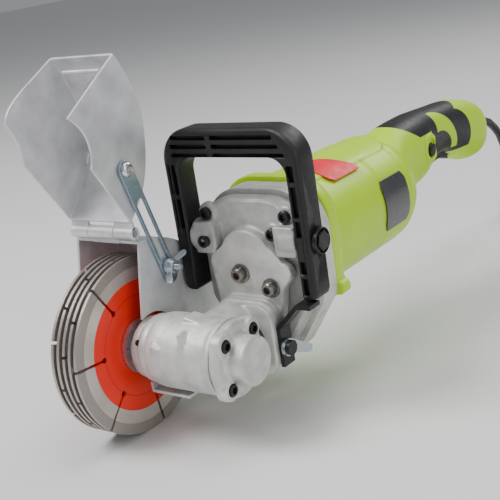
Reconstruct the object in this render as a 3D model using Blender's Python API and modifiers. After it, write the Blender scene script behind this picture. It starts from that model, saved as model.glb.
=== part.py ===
"""Wall chaser: five diamond discs under a hinged guard, a gear case, a motor and a rear handle.

Sizes are in millimetres in the tool's own frame and MM turns them into metres. In that frame X is the
disc axis with the near disc's face at 0 and the spindle's end cap on the plus side, minus Y is the
front, and the disc axis lies at Z 0. The empty "wall_chaser" carries every piece and puts the middle
of the box that the tool stands in at the world's origin.
"""
import math

import bmesh
import bpy
import numpy as np
from mathutils import Vector

MM = 0.001
GAP = 0.3

# driving sizes
DISC_R = 66.5
DISC_BORE_R = 11.1
DISC_THICK = 2.4
DISC_PITCH = 5.5
DISC_COUNT = 5
SLOT_COUNT = 7
FIRST_SLOT_DEG = 20.4
SLOT_FOOT_R = 38.5
SPINDLE_R = 10.0

GUARD_R = 79.5
GUARD_SHEET = 2.0
GUARD_NEAR_X = 15.0
GUARD_FAR_X = -47.0
GUARD_NOTCH_R = 26.0
GUARD_FLOOR_Z = -29.5
GUARD_FOOT = (48.0, -11.0, 24.0)
HINGE_Z = 86.0
HINGE_R = 4.5
PIN_R = 2.2
COVER_OPEN_DEG = 140.4

HOUSING_R = 27.3
HOUSING_BORE_R = 23.8
HOUSING_END_X = 84.0
END_CAP_FACE_X = 104.5
END_CAP_BOSS_R = 17.4
END_SCREW_OFFSET = 16.0

MOTOR_X = 74.0
MOTOR_Z = 55.0
MOTOR_R = 46.0
MOTOR_WALL = 3.5
IDLER_Z = 32.0
COVER_FRONT_Y = 52.0
COVER_BACK_Y = 66.0
CASE_BACK_Y = 85.0
FLANGE_BACK_Y = 98.0
BARREL_BACK_Y = 238.0

HANDLE_Y = (40.0, 61.0)
HANDLE_HALF_W = 58.0
HANDLE_POST = 12.0
HANDLE_TOP_Z = 151.0
HANDLE_BAR = 21.0
HANDLE_FOOT_Z = 29.0
HANDLE_BOLT_Z = 70.0
BOLT_Y = 52.5

GRIP_END_Y = 438.0
CORD_R = 4.0
COIL_CENTRE = (124.0, 565.0)
COIL_RADII = (31.5, 56.0)
COIL_HEIGHT = 33.0
PLUG_R = 17.0

GLAND_END_Y = 459.0
BOLT_HEAD = 4.5

# the box that the tool without its cord stands in, which sets the world's origin
LEFT_X = GUARD_FAR_X
RIGHT_X = MOTOR_X + HANDLE_HALF_W + GAP + BOLT_HEAD
FRONT_Y = -DISC_R
REAR_Y = GLAND_END_Y
FLOOR_Z = -DISC_R

# places that several pieces share
STUD = (24.5, 53.5)
ARM_PIVOT = (0.0, 132.5)
ARM_X = (GUARD_NEAR_X + 0.9, GUARD_NEAR_X + 2.9)
ARM_SLOT_START = 28.0
ARM_LENGTH = 90.0
ARM_HALF_W = 6.5
SLOT_HALF_W = 3.9
FLANGE_SCREWS = ((69.0, 45.0), (94.0, 36.0))
BRACE_X = 99.3
BRACE_Y = 41.0
LEVER_PIVOT = (38.0, -6.0)
CORD_ROUTE = (
    (74.0, 459.4, 57.0), (74.0, 464.0, 56.4), (74.0, 475.0, 52.5), (73.6, 489.0, 43.5),
    (72.8, 502.0, 33.0), (71.0, 515.0, 18.5), (68.0, 527.0, 1.0), (65.5, 538.0, -19.0),
    (63.6, 549.0, -39.5), (63.0, 560.0, -53.5), (63.8, 573.0, -60.6), (66.6, 584.4, -62.1),
    (70.8, 593.4, -62.2),
)

MATERIALS = {
    "green_plastic": ((0.55, 0.76, 0.03), 0.42, 0.0),
    "black_plastic": ((0.02, 0.02, 0.022), 0.55, 0.0),
    "cast_aluminium": ((0.58, 0.58, 0.56), 0.48, 0.7),
    "guard_steel": ((0.6, 0.6, 0.62), 0.42, 0.8),
    "zinc_steel": ((0.45, 0.52, 0.58), 0.35, 0.9),
    "dark_steel": ((0.05, 0.05, 0.055), 0.45, 0.6),
    "disc_steel": ((0.62, 0.58, 0.54), 0.38, 0.8),
    "gear_steel": ((0.35, 0.35, 0.36), 0.3, 0.9),
    "copper": ((0.7, 0.33, 0.18), 0.35, 0.9),
    "carbon": ((0.04, 0.04, 0.04), 0.7, 0.0),
    "red_panel": ((0.84, 0.06, 0.08), 0.4, 0.0),
    "cord_rubber": ((0.02, 0.02, 0.02), 0.6, 0.0),
}

AXIS_TURN = {"X": (0.0, math.pi / 2, 0.0), "Y": (-math.pi / 2, 0.0, 0.0), "Z": (0.0, 0.0, 0.0)}
PLATE_TURN = {"X": (math.pi / 2, 0.0, math.pi / 2), "Y": (math.pi / 2, 0.0, 0.0), "Z": (0.0, 0.0, 0.0)}


# ---------------------------------------------------------------- scene and helpers
def clear_scene():
    for obj in list(bpy.data.objects):
        bpy.data.objects.remove(obj, do_unlink=True)


def make_collection(name):
    collection = bpy.data.collections.new(name)
    bpy.context.scene.collection.children.link(collection)
    return collection


def make_material(name):
    colour, roughness, metallic = MATERIALS[name]
    material = bpy.data.materials.new(name)
    material.use_nodes = True
    shader = material.node_tree.nodes["Principled BSDF"]
    shader.inputs["Base Color"].default_value = (*colour, 1.0)
    shader.inputs["Roughness"].default_value = roughness
    shader.inputs["Metallic"].default_value = metallic
    return material


def place(obj, material=None, location=(0, 0, 0), turn=(0, 0, 0)):
    """Put a piece in the parts collection, or a helper without a material in the cutters."""
    obj.parent = TOOL
    obj.location = Vector(location) * MM
    obj.rotation_euler = turn
    if material is None:
        CUTTERS.objects.link(obj)
        obj.hide_render = True
        obj.display_type = "WIRE"
    else:
        PARTS.objects.link(obj)
        obj.data.materials.append(SHADES[material])
    return obj


def mesh_object(name, bm, smooth_deg=None):
    bmesh.ops.recalc_face_normals(bm, faces=bm.faces)
    mesh = bpy.data.meshes.new(name)
    bm.to_mesh(mesh)
    bm.free()
    if smooth_deg:
        mesh.shade_smooth()
        mesh.set_sharp_from_angle(angle=math.radians(smooth_deg))
    return bpy.data.objects.new(name, mesh)


def box(name, low, high, material=None):
    bm = bmesh.new()
    bmesh.ops.create_cube(bm, size=1.0)
    low, high = Vector(low), Vector(high)
    bmesh.ops.scale(bm, vec=(high - low) * MM, verts=bm.verts)
    return place(mesh_object(name, bm), material, (low + high) / 2)


def rod(name, radius, start, length, axis, material=None, sides=24):
    """A plain cylinder that starts at a point and runs along plus axis."""
    bm = bmesh.new()
    bmesh.ops.create_cone(bm, cap_ends=True, segments=sides, radius1=radius * MM,
                          radius2=radius * MM, depth=length * MM)
    middle = Vector(start)
    middle["XYZ".index(axis)] += length / 2
    return place(mesh_object(name, bm, 40), material, middle, AXIS_TURN[axis])


def turned(name, outer, axis, centre, material=None, bore=None, steps=32):
    """A lathe shape: outer and bore are (along, radius) points with rising along values."""
    if bore:
        profile = outer[::-1] + bore
    else:
        profile = [(outer[-1][0], 0.0)] + outer[::-1] + [(outer[0][0], 0.0)]
    bm = bmesh.new()
    verts = [bm.verts.new((radius * MM, 0.0, along * MM)) for along, radius in profile]
    for first, second in zip(verts, verts[1:]):
        bm.edges.new((first, second))
    if bore:
        bm.edges.new((verts[-1], verts[0]))
    mesh = bpy.data.meshes.new(name)
    bm.to_mesh(mesh)
    bm.free()
    obj = place(bpy.data.objects.new(name, mesh), material, centre, AXIS_TURN[axis])
    screw = obj.modifiers.new("turn", "SCREW")
    screw.axis = "Z"
    screw.steps = screw.render_steps = steps
    screw.use_merge_vertices = True
    screw.merge_threshold = 0.00001
    return obj


def plate(name, outline, thickness, normal, middle, material=None, holes=()):
    """A flat sheet piece. Outline points are (y, z) for normal X, (x, z) for Y and (x, y) for Z."""
    curve = bpy.data.curves.new(name, "CURVE")
    curve.dimensions = "2D"
    curve.fill_mode = "BOTH"
    curve.extrude = thickness / 2 * MM
    for loop in (outline, *holes):
        spline = curve.splines.new("POLY")
        spline.points.add(len(loop) - 1)
        for point, (a, b) in zip(spline.points, loop):
            point.co = (a * MM, b * MM, 0.0, 1.0)
        spline.use_cyclic_u = True
    offset = [0.0, 0.0, 0.0]
    offset["XYZ".index(normal)] = middle
    obj = bpy.data.objects.new(name, curve)
    place(obj, material, offset, PLATE_TURN[normal])
    return to_mesh(obj)


def to_mesh(curve_object):
    """Swap a curve object for a welded mesh in the same place."""
    name = curve_object.name
    bpy.context.view_layer.update()
    evaluated = curve_object.evaluated_get(bpy.context.evaluated_depsgraph_get())
    mesh = bpy.data.meshes.new_from_object(evaluated)
    bm = bmesh.new()
    bm.from_mesh(mesh)
    bmesh.ops.remove_doubles(bm, verts=bm.verts, dist=0.00001)
    bmesh.ops.recalc_face_normals(bm, faces=bm.faces)
    bm.to_mesh(mesh)
    bm.free()
    solid = bpy.data.objects.new(name, mesh)
    for collection in curve_object.users_collection:
        collection.objects.link(solid)
    solid.parent = curve_object.parent
    solid.location = curve_object.location
    solid.rotation_euler = curve_object.rotation_euler
    solid.hide_render = curve_object.hide_render
    solid.display_type = curve_object.display_type
    bpy.data.objects.remove(curve_object)
    solid.name = name
    return solid


def boolean(target, tools, operation):
    for tool in tools:
        modifier = target.modifiers.new(tool.name, "BOOLEAN")
        modifier.operation = operation
        modifier.object = tool
    return target


def cut(target, *tools):
    return boolean(target, tools, "DIFFERENCE")


def join(target, *tools):
    return boolean(target, tools, "UNION")


def arc(centre, radius, start_deg, end_deg, count):
    """Points on an arc, both ends included."""
    angles = np.radians(np.linspace(start_deg, end_deg, count))
    return [(centre[0] + radius * math.cos(a), centre[1] + radius * math.sin(a)) for a in angles]


def circle(centre, radius, count=24):
    return arc(centre, radius, 0, 360 * (count - 1) / count, count)


def turn_point(point, centre, degrees):
    angle = math.radians(degrees)
    dy, dz = point[0] - centre[0], point[1] - centre[1]
    return (centre[0] + dy * math.cos(angle) - dz * math.sin(angle),
            centre[1] + dy * math.sin(angle) + dz * math.cos(angle))


def loft(name, rings, material=None):
    """A closed solid through rings of 3-D points that all have the same count."""
    bm = bmesh.new()
    loops = [[bm.verts.new(Vector(p) * MM) for p in ring] for ring in rings]
    count = len(loops[0])
    for low, high in zip(loops, loops[1:]):
        for i in range(count):
            j = (i + 1) % count
            bm.faces.new((low[i], low[j], high[j], high[i]))
    bm.faces.new(loops[0][::-1])
    bm.faces.new(loops[-1])
    return place(mesh_object(name, bm, 50), material)


def hex_outline(centre, radius):
    return arc(centre, radius, 0, 300, 6)


# ---------------------------------------------------------------- discs and spindle
def disc_outline():
    """Rim with seven slots, each ending in a round hole that stops cracks."""
    slot_half_deg = 0.9
    eye_r = 2.2
    outline = []
    pitch = 360 / SLOT_COUNT
    for k in range(SLOT_COUNT):
        middle = FIRST_SLOT_DEG + k * pitch
        outline += arc((0, 0), DISC_R, middle - pitch + slot_half_deg, middle - slot_half_deg, 7)
        eye = arc((0, 0), SLOT_FOOT_R, middle, middle, 1)[0]
        outline += arc(eye, eye_r, middle - 25, middle - 335, 7)
    return outline


def build_discs():
    outline = disc_outline()
    for number in range(DISC_COUNT):
        face_x = -number * DISC_PITCH
        turn = number * 360 / SLOT_COUNT * 0.42
        points = [turn_point(p, (0, 0), turn) for p in outline]
        plate(f"disc_{number + 1}", points, DISC_THICK, "X", face_x - DISC_THICK / 2,
              "disc_steel", [circle((0, 0), DISC_BORE_R)])
    spacer = DISC_PITCH - DISC_THICK - 2 * GAP
    for number in range(DISC_COUNT - 1):
        start = -number * DISC_PITCH - DISC_THICK - GAP - spacer
        turned(f"disc_spacer_{number + 1}", [(start, 20), (start + spacer, 20)], "X", (0, 0, 0),
               "zinc_steel", [(start, DISC_BORE_R), (start + spacer, DISC_BORE_R)], steps=24)


def build_spindle():
    pack_end = -(DISC_COUNT - 1) * DISC_PITCH - DISC_THICK
    flange_start = pack_end - GAP - 7
    nut_face = flange_start - 3 * GAP
    turned("spindle", [(nut_face - 9.4, 9), (nut_face + 0.1, 9), (nut_face + 0.2, SPINDLE_R),
                       (49, SPINDLE_R), (49.2, 8.5), (66, 8.5), (66.2, 7.5), (97, 7.5)],
           "X", (0, 0, 0), "gear_steel")
    turned("inner_disc_flange", [(GAP, 21), (4, 21), (5, 17), (9, 17)], "X", (0, 0, 0), "zinc_steel",
           [(GAP, SPINDLE_R + GAP), (9, SPINDLE_R + GAP)])
    turned("outer_disc_flange", [(flange_start, 16), (flange_start + 3, 21), (flange_start + 7, 21)], "X",
           (0, 0, 0), "zinc_steel", [(flange_start, SPINDLE_R + GAP), (flange_start + 7, SPINDLE_R + GAP)])
    plate("spindle_nut", hex_outline((0, 0), 14), 8, "X", nut_face - 4, "zinc_steel",
          [circle((0, 0), 9 + GAP)])
    for name, low, inner, outer in (("front", 20.0, SPINDLE_R, HOUSING_BORE_R),
                                    ("rear", 86.5, 7.5, 13.0)):
        turned(f"spindle_bearing_{name}", [(low, outer - GAP), (low + 11, outer - GAP)], "X",
               (0, 0, 0), "gear_steel", [(low, inner + GAP), (low + 11, inner + GAP)])


def tooth_outline(centre, root_r, tip_r, count):
    """A plain toothed wheel's rim, four points a tooth."""
    points = []
    pitch = 360 / count
    for k in range(count):
        start = k * pitch
        points += arc(centre, root_r, start, start + pitch * 0.35, 2)
        points += arc(centre, tip_r, start + pitch * 0.5, start + pitch * 0.85, 2)
    return points


def toothed_cone(name, stations, count, axis, centre, material=None):
    """A bevel gear blank with teeth: stations are (along, root radius, tip radius)."""
    rings = []
    for along, root_r, tip_r in stations:
        ring = []
        for a, b in tooth_outline((0, 0), root_r, tip_r, count):
            if axis == "X":
                ring.append((along, centre[1] + a, centre[2] + b))
            else:
                ring.append((centre[0] + a, along, centre[2] + b))
        rings.append(ring)
    return loft(name, rings, material)


def build_gears():
    """Spur pair from the motor to the idler, spur pair to the pinion shaft, bevel pair to the spindle."""
    crown = toothed_cone("crown_gear", [(54, 10, 11), (60, 15, 17.2), (64, 14.2, 16.2), (67, 10, 11)],
                         20, "X", (0, 0, 0), "gear_steel")
    cut(crown, rod("crown_bore", 8.5 + GAP, (45, 0, 0), 30, "X"))
    shaft = turned("pinion_shaft", [(10.6, 4.5), (12, 4.5), (18, 7.5), (82.5, 7.5)],
                   "Y", (MOTOR_X, 0, 0), "gear_steel")
    join(shaft, toothed_cone("pinion_teeth", [(11, 5.6, 6.6), (16.2, 8.4, 9.7), (19, 7.6, 8.6)], 12, "Y",
                             (MOTOR_X, 0, 0)))
    plate("driven_gear", tooth_outline((MOTOR_X, 0), 18.6, 20.6, 24), 8, "Y", 64, "gear_steel",
          [circle((MOTOR_X, 0), 7.5 + GAP)])
    idler = plate("idler_gear", tooth_outline((MOTOR_X, IDLER_Z), 13.8, 15.6, 20), 7, "Y", 75.8,
                  "gear_steel")
    pinion = plate("idler_pinion", tooth_outline((MOTOR_X, IDLER_Z), 8.8, 10.8, 12), 10, "Y", 64)
    join(idler, rod("idler_shaft", 5.0, (MOTOR_X, 57, IDLER_Z), 27, "Y"), pinion)


def build_bearings():
    for name, y, x, z, inner, outer, width in (
            ("pinion_bearing", 29.0, MOTOR_X, 0.0, 7.5, 17.5, 12.0),
            ("motor_bearing_front", 80.4, MOTOR_X, MOTOR_Z, 6.0, 13.0, 4.0),
            ("motor_bearing_rear", 230.5, MOTOR_X, MOTOR_Z, 5.0, 13.0, 7.0)):
        turned(name, [(y, outer - GAP), (y + width, outer - GAP)], "Y", (x, 0, z), "gear_steel",
               [(y, inner + GAP), (y + width, inner + GAP)], steps=24)


# ---------------------------------------------------------------- castings
def neck_outline(right_x):
    """Rounded block behind the spindle tube, as far as a given X on its right side."""
    corner, left_x = 12.5, 49.0
    return (arc((right_x - corner, 14.5), corner, 90, 0, 4)
            + arc((right_x - corner, -13.5), corner, 0, -90, 4)
            + arc((left_x + corner, -13.5), corner, -90, -180, 4)
            + arc((left_x + corner, 14.5), corner, 180, 90, 4))


def build_spindle_housing():
    body = turned("spindle_housing",
                  [(10, 21), (11, 23), (17, 23), (17.2, 25.2), (24, 25.2), (34, HOUSING_R),
                   (HOUSING_END_X, HOUSING_R)],
                  "X", (0, 0, 0), "cast_aluminium", steps=40)
    neck = plate("housing_neck", neck_outline(BRACE_X - GAP), 17, "Y", 37.5)
    throat = plate("housing_throat", neck_outline(HOUSING_END_X - GAP), 28, "Y", 16)
    flange_outline = [(46, 4), (44, 30), (41.5, 52), (43.5, 58), (52, 63)]
    flange_outline += arc((MOTOR_X, MOTOR_Z), 22, 150, 30, 9)
    flange_outline += [(97, 63), (103, 57), (104.5, 40), (99, 14)]
    flange_outline += arc((MOTOR_X, 0), 25, -20, -160, 8)
    flange = plate("housing_flange", flange_outline, COVER_FRONT_Y - GAP - 43, "Y",
                   (COVER_FRONT_Y - GAP + 43) / 2)
    join(body, neck, throat, flange)
    bore = turned("housing_bore", [(9, 16), (19.7, 16), (19.71, HOUSING_BORE_R), (90, HOUSING_BORE_R)],
                  "X", (0, 0, 0), steps=40)
    neck_bore = turned("neck_bore", [(15, 17.5), (53, 17.5)], "Y", (MOTOR_X, 0, 0))
    cut(body, bore, neck_bore, rod("brace_thread", 3 + GAP, (BRACE_X - 8, LEVER_PIVOT[0], LEVER_PIVOT[1]),
                                   12, "X", sides=16))
    for number, (x, z) in enumerate(FLANGE_SCREWS):
        cut(body, rod(f"flange_hole_{number}", 3 + GAP, (x, 40, z), 13, "Y", sides=16))


def build_flange_screws():
    """Socket head screws that hold the spindle housing to the gear case."""
    for number, (x, z) in enumerate(FLANGE_SCREWS):
        screw = turned(f"flange_screw_{number + 1}",
                       [(36.2, 5), (41.4, 5), (41.5, 7), (42.7, 7), (42.75, 3.0), (57.5, 3.0)], "Y",
                       (x, 0, z), "zinc_steel", steps=16)
        cut(screw, plate(f"flange_socket_{number}", hex_outline((x, z), 2.9), 6, "Y", 36))


def build_end_cap():
    lobes = []
    for k in range(4):
        lobes += arc((0, 0), HOUSING_R, 90 * k - 24, 90 * k + 24, 5)
        turn = math.radians(90 * k + 45)
        lobe_centre = (END_SCREW_OFFSET * math.copysign(1, math.cos(turn)),
                       END_SCREW_OFFSET * math.copysign(1, math.sin(turn)))
        lobes += arc(lobe_centre, 8.5, 90 * k + 15, 90 * k + 75, 4)
    cap = plate("spindle_end_cap", lobes, 5.4, "X", HOUSING_END_X + GAP + 2.7, "cast_aluminium")
    boss = turned("end_cap_boss", [(86, 20), (91, 19), (93, END_CAP_BOSS_R),
                                   (END_CAP_FACE_X, END_CAP_BOSS_R)], "X", (0, 0, 0))
    join(cap, boss)
    cut(cap, turned("end_cap_bore", [(80, 13), (98.5, 13)], "X", (0, 0, 0)))


def case_outline(inset=0.0):
    """Outline of the gear case seen from the front: round shoulders over a narrow chin."""
    top = arc((MOTOR_X + 15, MOTOR_Z + 14), 32 - inset, 90, 0, 7)
    right = arc((MOTOR_X + 27, 26), 20 - inset, 0, -36, 4)
    chin = arc((MOTOR_X, 0), 28 - inset, -36, -144, 9)
    left = arc((MOTOR_X - 27, 26), 20 - inset, -144, -180, 4)
    top_left = arc((MOTOR_X - 15, MOTOR_Z + 14), 32 - inset, 180, 90, 7)
    return top + right + chin + left + top_left


def build_gear_case():
    inset, wall = 3.5, 3.0
    front = plate("gearcase_front", case_outline(inset), COVER_BACK_Y - COVER_FRONT_Y, "Y",
                  (COVER_FRONT_Y + COVER_BACK_Y) / 2, "cast_aluminium")
    boss_length = 14
    for name, start in (("left", MOTOR_X - HANDLE_HALF_W + HANDLE_POST + 0.5),
                        ("right", MOTOR_X + HANDLE_HALF_W - HANDLE_POST - 0.5 - boss_length)):
        join(front, rod(f"handle_boss_{name}", 12, (start, BOLT_Y, HANDLE_BOLT_Z), boss_length, "X"))
    cut(front, plate("front_cavity", case_outline(inset + wall), 20, "Y", 66.5),
        rod("front_pinion_hole", 17.5, (MOTOR_X, 40, 0), 40, "Y"))
    for number, (x, z) in enumerate(FLANGE_SCREWS):
        join(front, rod(f"front_pillar_{number}", 6.5, (x, 52.5, z), 6, "Y", sides=16))
        cut(front, rod(f"front_hole_{number}", 3 + GAP, (x, 51, z), 6.9, "Y", sides=16))
    for name, start in (("left", MOTOR_X - 48), ("right", MOTOR_X + 28)):
        cut(front, rod(f"handle_thread_{name}", 4 + GAP, (start, BOLT_Y, HANDLE_BOLT_Z), 20, "X",
                       sides=16))

    back = plate("gearcase_rear", case_outline(), CASE_BACK_Y - COVER_BACK_Y - GAP, "Y",
                 (CASE_BACK_Y + COVER_BACK_Y + GAP) / 2, "cast_aluminium")
    cut(back, plate("rear_cavity", case_outline(5), 20, "Y", 70))
    for number, (z, radius) in enumerate(((0.0, 7.5 + GAP), (IDLER_Z, 5 + GAP), (MOTOR_Z, 13.0))):
        cut(back, rod(f"rear_seat_{number}", radius, (MOTOR_X, 78, z), 10, "Y"))


# ---------------------------------------------------------------- motor
def flange_outline():
    """Front flange of the motor housing: half width 47, rounder at the top."""
    half = 47
    return (arc((MOTOR_X + half - 32, MOTOR_Z + half - 29), 32, 90, 0, 7)
            + arc((MOTOR_X + half - 20, MOTOR_Z - half + 20), 20, 0, -90, 5)
            + arc((MOTOR_X - half + 20, MOTOR_Z - half + 20), 20, -90, -180, 5)
            + arc((MOTOR_X - half + 32, MOTOR_Z + half - 29), 32, 180, 90, 7))


def build_motor_housing():
    centre = (MOTOR_X, 0, MOTOR_Z)
    back = BARREL_BACK_Y
    shell = turned("motor_housing", [(90, MOTOR_R), (back - 20, MOTOR_R), (back - 7, MOTOR_R - 5),
                                     (back, MOTOR_R - 14)],
                   "Y", centre, "green_plastic", steps=48)
    flange = plate("motor_flange", flange_outline(), FLANGE_BACK_Y - CASE_BACK_Y - GAP, "Y",
                   (FLANGE_BACK_Y + CASE_BACK_Y + GAP) / 2)
    join(shell, flange)
    inside = MOTOR_R - MOTOR_WALL
    cut(shell, turned("motor_hollow", [(80, inside), (back - 20, inside), (back - 8, inside - 6),
                                       (back - 7.9, 13), (back + 5, 13)], "Y", centre, steps=48))
    turned("stator", [(112, 41), (160, 41)], "Y", centre, "gear_steel", [(112, 28.5), (160, 28.5)],
           steps=32)
    rotor = turned("armature", [(57, 4.6), (79.5, 4.6), (79.7, 5.6), (114, 5.6),
                        (114.2, 14), (118, 27.5), (154, 27.5), (158, 14), (174, 14), (174.2, 16.5),
                        (196, 16.5), (196.2, 6), (219, 6), (219.2, 4.7), (237, 4.7)],
           "Y", centre, "copper", steps=24)
    join(rotor, plate("motor_pinion", tooth_outline((MOTOR_X, MOTOR_Z), 5.6, 7.0, 9), 9, "Y", 75))
    fan = turned("fan", [(100, 36), (101.5, 36), (101.6, 11), (109, 11)], "Y", centre, "black_plastic",
                 [(100, 6), (109, 6)], steps=36)
    for k in range(9):
        angle = math.radians(k * 40)
        blade = box(f"fan_blade_{k}", (-10, 101, -0.8), (10, 109, 0.8))
        blade.rotation_euler = (0, -angle, 0)
        blade.location = Vector((MOTOR_X + 24 * math.cos(angle), 105, MOTOR_Z + 24 * math.sin(angle))) * MM
        join(fan, blade)
    for name, side in (("left", -1), ("right", 1)):
        near, far = 17.2, 36.0
        low = MOTOR_X + (near if side > 0 else -far)
        box(f"carbon_brush_{name}", (low, 181, MOTOR_Z - 5), (low + far - near, 189, MOTOR_Z + 5),
            "carbon")


def side_panel(name, y_low, y_high, start_deg, end_deg, material):
    """A thin curved plate that lies on the motor barrel."""
    radius = MOTOR_R + GAP
    ring = arc((MOTOR_X, MOTOR_Z), radius, start_deg, end_deg, 9)
    ring += arc((MOTOR_X, MOTOR_Z), radius + 1.0, end_deg, start_deg, 9)
    plate(name, ring, y_high - y_low, "Y", (y_low + y_high) / 2, material)


# ---------------------------------------------------------------- front handle
def build_front_handle():
    x0, x1 = MOTOR_X - HANDLE_HALF_W, MOTOR_X + HANDLE_HALF_W
    top, foot = HANDLE_TOP_Z, HANDLE_FOOT_Z
    outer_r, inner_r = 24, 13
    inner_top = top - HANDLE_BAR
    outline = [(x0, foot + 4), (x0 + 4, foot), (x0 + HANDLE_POST, foot)]
    outline += arc((x0 + HANDLE_POST + inner_r, inner_top - inner_r), inner_r, 180, 90, 5)
    outline += arc((x1 - HANDLE_POST - inner_r, inner_top - inner_r), inner_r, 90, 0, 5)
    outline += [(x1 - HANDLE_POST, foot), (x1 - 4, foot), (x1, foot + 4)]
    outline += arc((x1 - outer_r, top - outer_r), outer_r, 0, 90, 7)
    outline += arc((x0 + outer_r, top - outer_r), outer_r, 90, 180, 7)
    handle = plate("front_handle", outline, HANDLE_Y[1] - HANDLE_Y[0], "Y", sum(HANDLE_Y) / 2,
                   "black_plastic")
    bevel = handle.modifiers.new("edges", "BEVEL")
    bevel.width = 2.0 * MM
    bevel.segments = 1
    bevel.angle_limit = math.radians(50)
    for row in range(3):
        z = top - 5 - row * 6.2
        cut(handle, box(f"bar_groove_left_{row}", (x0 + 9, 35, z - 3.2), (MOTOR_X - 16, 45, z)))
        cut(handle, box(f"bar_groove_right_{row}", (MOTOR_X - 12, 35, z - 3.2),
                        (x1 - 18 + 4 * row, 45, z)))
    for start in (x0 - 1, x1 - HANDLE_POST - 1):
        cut(handle, rod(f"bolt_hole_{start:.0f}", 4 + GAP, (start, BOLT_Y, HANDLE_BOLT_Z),
                        HANDLE_POST + 2, "X", sides=16))
    cut(handle, box("arm_relief", (x0 - 3, HANDLE_Y[0] - 5, 36), (ARM_X[1] + GAP, HANDLE_Y[1] + 5, 62.7)))
    build_handle_bolts(x0, x1)


def build_handle_bolts(x0, x1):
    """Hexagon-flanged bolts through the posts into the gear case's side bosses."""
    for name, start, head in (("left", x0 - 0.6, x0 - GAP - BOLT_HEAD), ("right", x1 - 27, x1 + GAP)):
        profile = [(head, 7), (head + BOLT_HEAD, 7)]
        if name == "right":
            profile = [(head, 9), (head + 1.5, 9), (head + 1.6, 7), (head + BOLT_HEAD, 7)]
        bolt = rod(f"handle_bolt_{name}", 4, (start, BOLT_Y, HANDLE_BOLT_Z), 27.6, "X", "dark_steel",
                   sides=16)
        join(bolt, turned(f"bolt_head_{name}", profile, "X", (0, BOLT_Y, HANDLE_BOLT_Z), steps=24))


def build_brace():
    """Bent strip from the right handle post to the spindle housing's neck, its bolt and lock lever."""
    thick = 3.0
    tab_x = MOTOR_X + HANDLE_HALF_W
    tab_z = HANDLE_FOOT_Z - 0.5
    strip = [(BRACE_X, -20), (BRACE_X, 10), (tab_x - 14, tab_z), (tab_x - 2, tab_z),
             (tab_x - 2, tab_z - thick), (tab_x - 12.5, tab_z - thick), (BRACE_X + thick, 8.5),
             (BRACE_X + thick, -20)]
    brace = plate("handle_brace", strip, 13, "Y", BRACE_Y - 1, "dark_steel")
    y, z = LEVER_PIVOT
    cut(brace, rod("brace_hole", 3 + GAP, (BRACE_X - 2, y, z), 10, "X", sides=16))
    lever_x = BRACE_X + thick + GAP
    plate("lock_lever", arc((y, z), 6.5, 60, 300, 11) + arc((y + 25, z - 11), 3.2, -100, 80, 5),
          2.6, "X", lever_x + 1.3, "zinc_steel", [circle((y, z), 3 + GAP, 16)])
    turned("lever_bolt", [(BRACE_X - 6, 3), (lever_x + 2.9, 3), (lever_x + 2.95, 5.5),
                          (lever_x + 5.5, 5.5)], "X", (0, y, z), "dark_steel", steps=20)


# ---------------------------------------------------------------- guard and cover
def channel(name, side_outline, wrap_count, material, foot=None, far_edge=None):
    """Bent sheet: two side plates and the wrap that joins their first wrap_count points."""
    far_outline = side_outline if far_edge is None else [*side_outline[:wrap_count], *far_edge]
    bm = bmesh.new()
    near = [bm.verts.new((GUARD_NEAR_X * MM, y * MM, z * MM)) for y, z in side_outline]
    far = [bm.verts.new((GUARD_FAR_X * MM, y * MM, z * MM)) for y, z in far_outline]
    bm.faces.new(near)
    bm.faces.new(far[::-1])
    for i in range(wrap_count - 1):
        bm.faces.new((near[i + 1], near[i], far[i], far[i + 1]))
    if foot:
        end_x, first, second = foot
        corners = [bm.verts.new((end_x * MM, near[k].co.y, near[k].co.z)) for k in (first, second)]
        bm.faces.new((near[first], near[second], corners[1], corners[0]))
    bmesh.ops.recalc_face_normals(bm, faces=bm.faces)
    if bm.faces[0].normal.x < 0:
        bmesh.ops.reverse_faces(bm, faces=bm.faces)
    mesh = bpy.data.meshes.new(name)
    bm.to_mesh(mesh)
    bm.free()
    obj = place(bpy.data.objects.new(name, mesh), material)
    sheet = obj.modifiers.new("sheet", "SOLIDIFY")
    sheet.thickness = GUARD_SHEET * MM
    sheet.offset = -1.0
    sheet.use_even_offset = True
    return obj


def knuckles(owner, spans, web_low, web_high):
    """Hinge barrels on the pin's axis with a web down to the sheet."""
    for number, (start, end) in enumerate(spans):
        barrel = rod(f"{owner.name}_barrel_{number}", HINGE_R, (start, 0, HINGE_Z), end - start, "X",
                     sides=16)
        web = box(f"{owner.name}_web_{number}", (start, web_low[0], web_low[1]),
                  (end, web_high[0], web_high[1]))
        join(owner, barrel, web)
    cut(owner, rod(f"{owner.name}_pin_hole", PIN_R + GAP, (-60, 0, HINGE_Z), 90, "X", sides=12))


def build_guard():
    outline = arc((0, 0), GUARD_R, 88.5, -21.8, 15)
    outline += [(GUARD_FOOT[2], GUARD_FLOOR_Z), (GUARD_FOOT[1], GUARD_FLOOR_Z)]
    outline += arc((0, 0), GUARD_NOTCH_R, 245, 470, 13)
    outline += [(-2, 60)]
    guard = channel("guard", outline, 15, "guard_steel", (GUARD_FOOT[0], 15, 16))
    knuckles(guard, [(-27.8, -3.2)], (-1.2, 77.5), (2.2, 83))
    cut(guard, rod("stud_hole", 2.5 + GAP, (GUARD_NEAR_X - 6, *STUD), 10, "X", sides=12))
    turned("guard_stud", [(GUARD_NEAR_X - 4.6, 4.6), (GUARD_NEAR_X - 2.3, 4.6), (GUARD_NEAR_X - 2.25, 2.5),
                          (GUARD_NEAR_X + 15, 2.5)], "X", (0, *STUD), "zinc_steel", steps=12)
    rod("hinge_pin", PIN_R, (GUARD_FAR_X + 0.5, 0, HINGE_Z), GUARD_NEAR_X - GUARD_FAR_X - 0.5, "X",
        "zinc_steel", sides=12)


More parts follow.
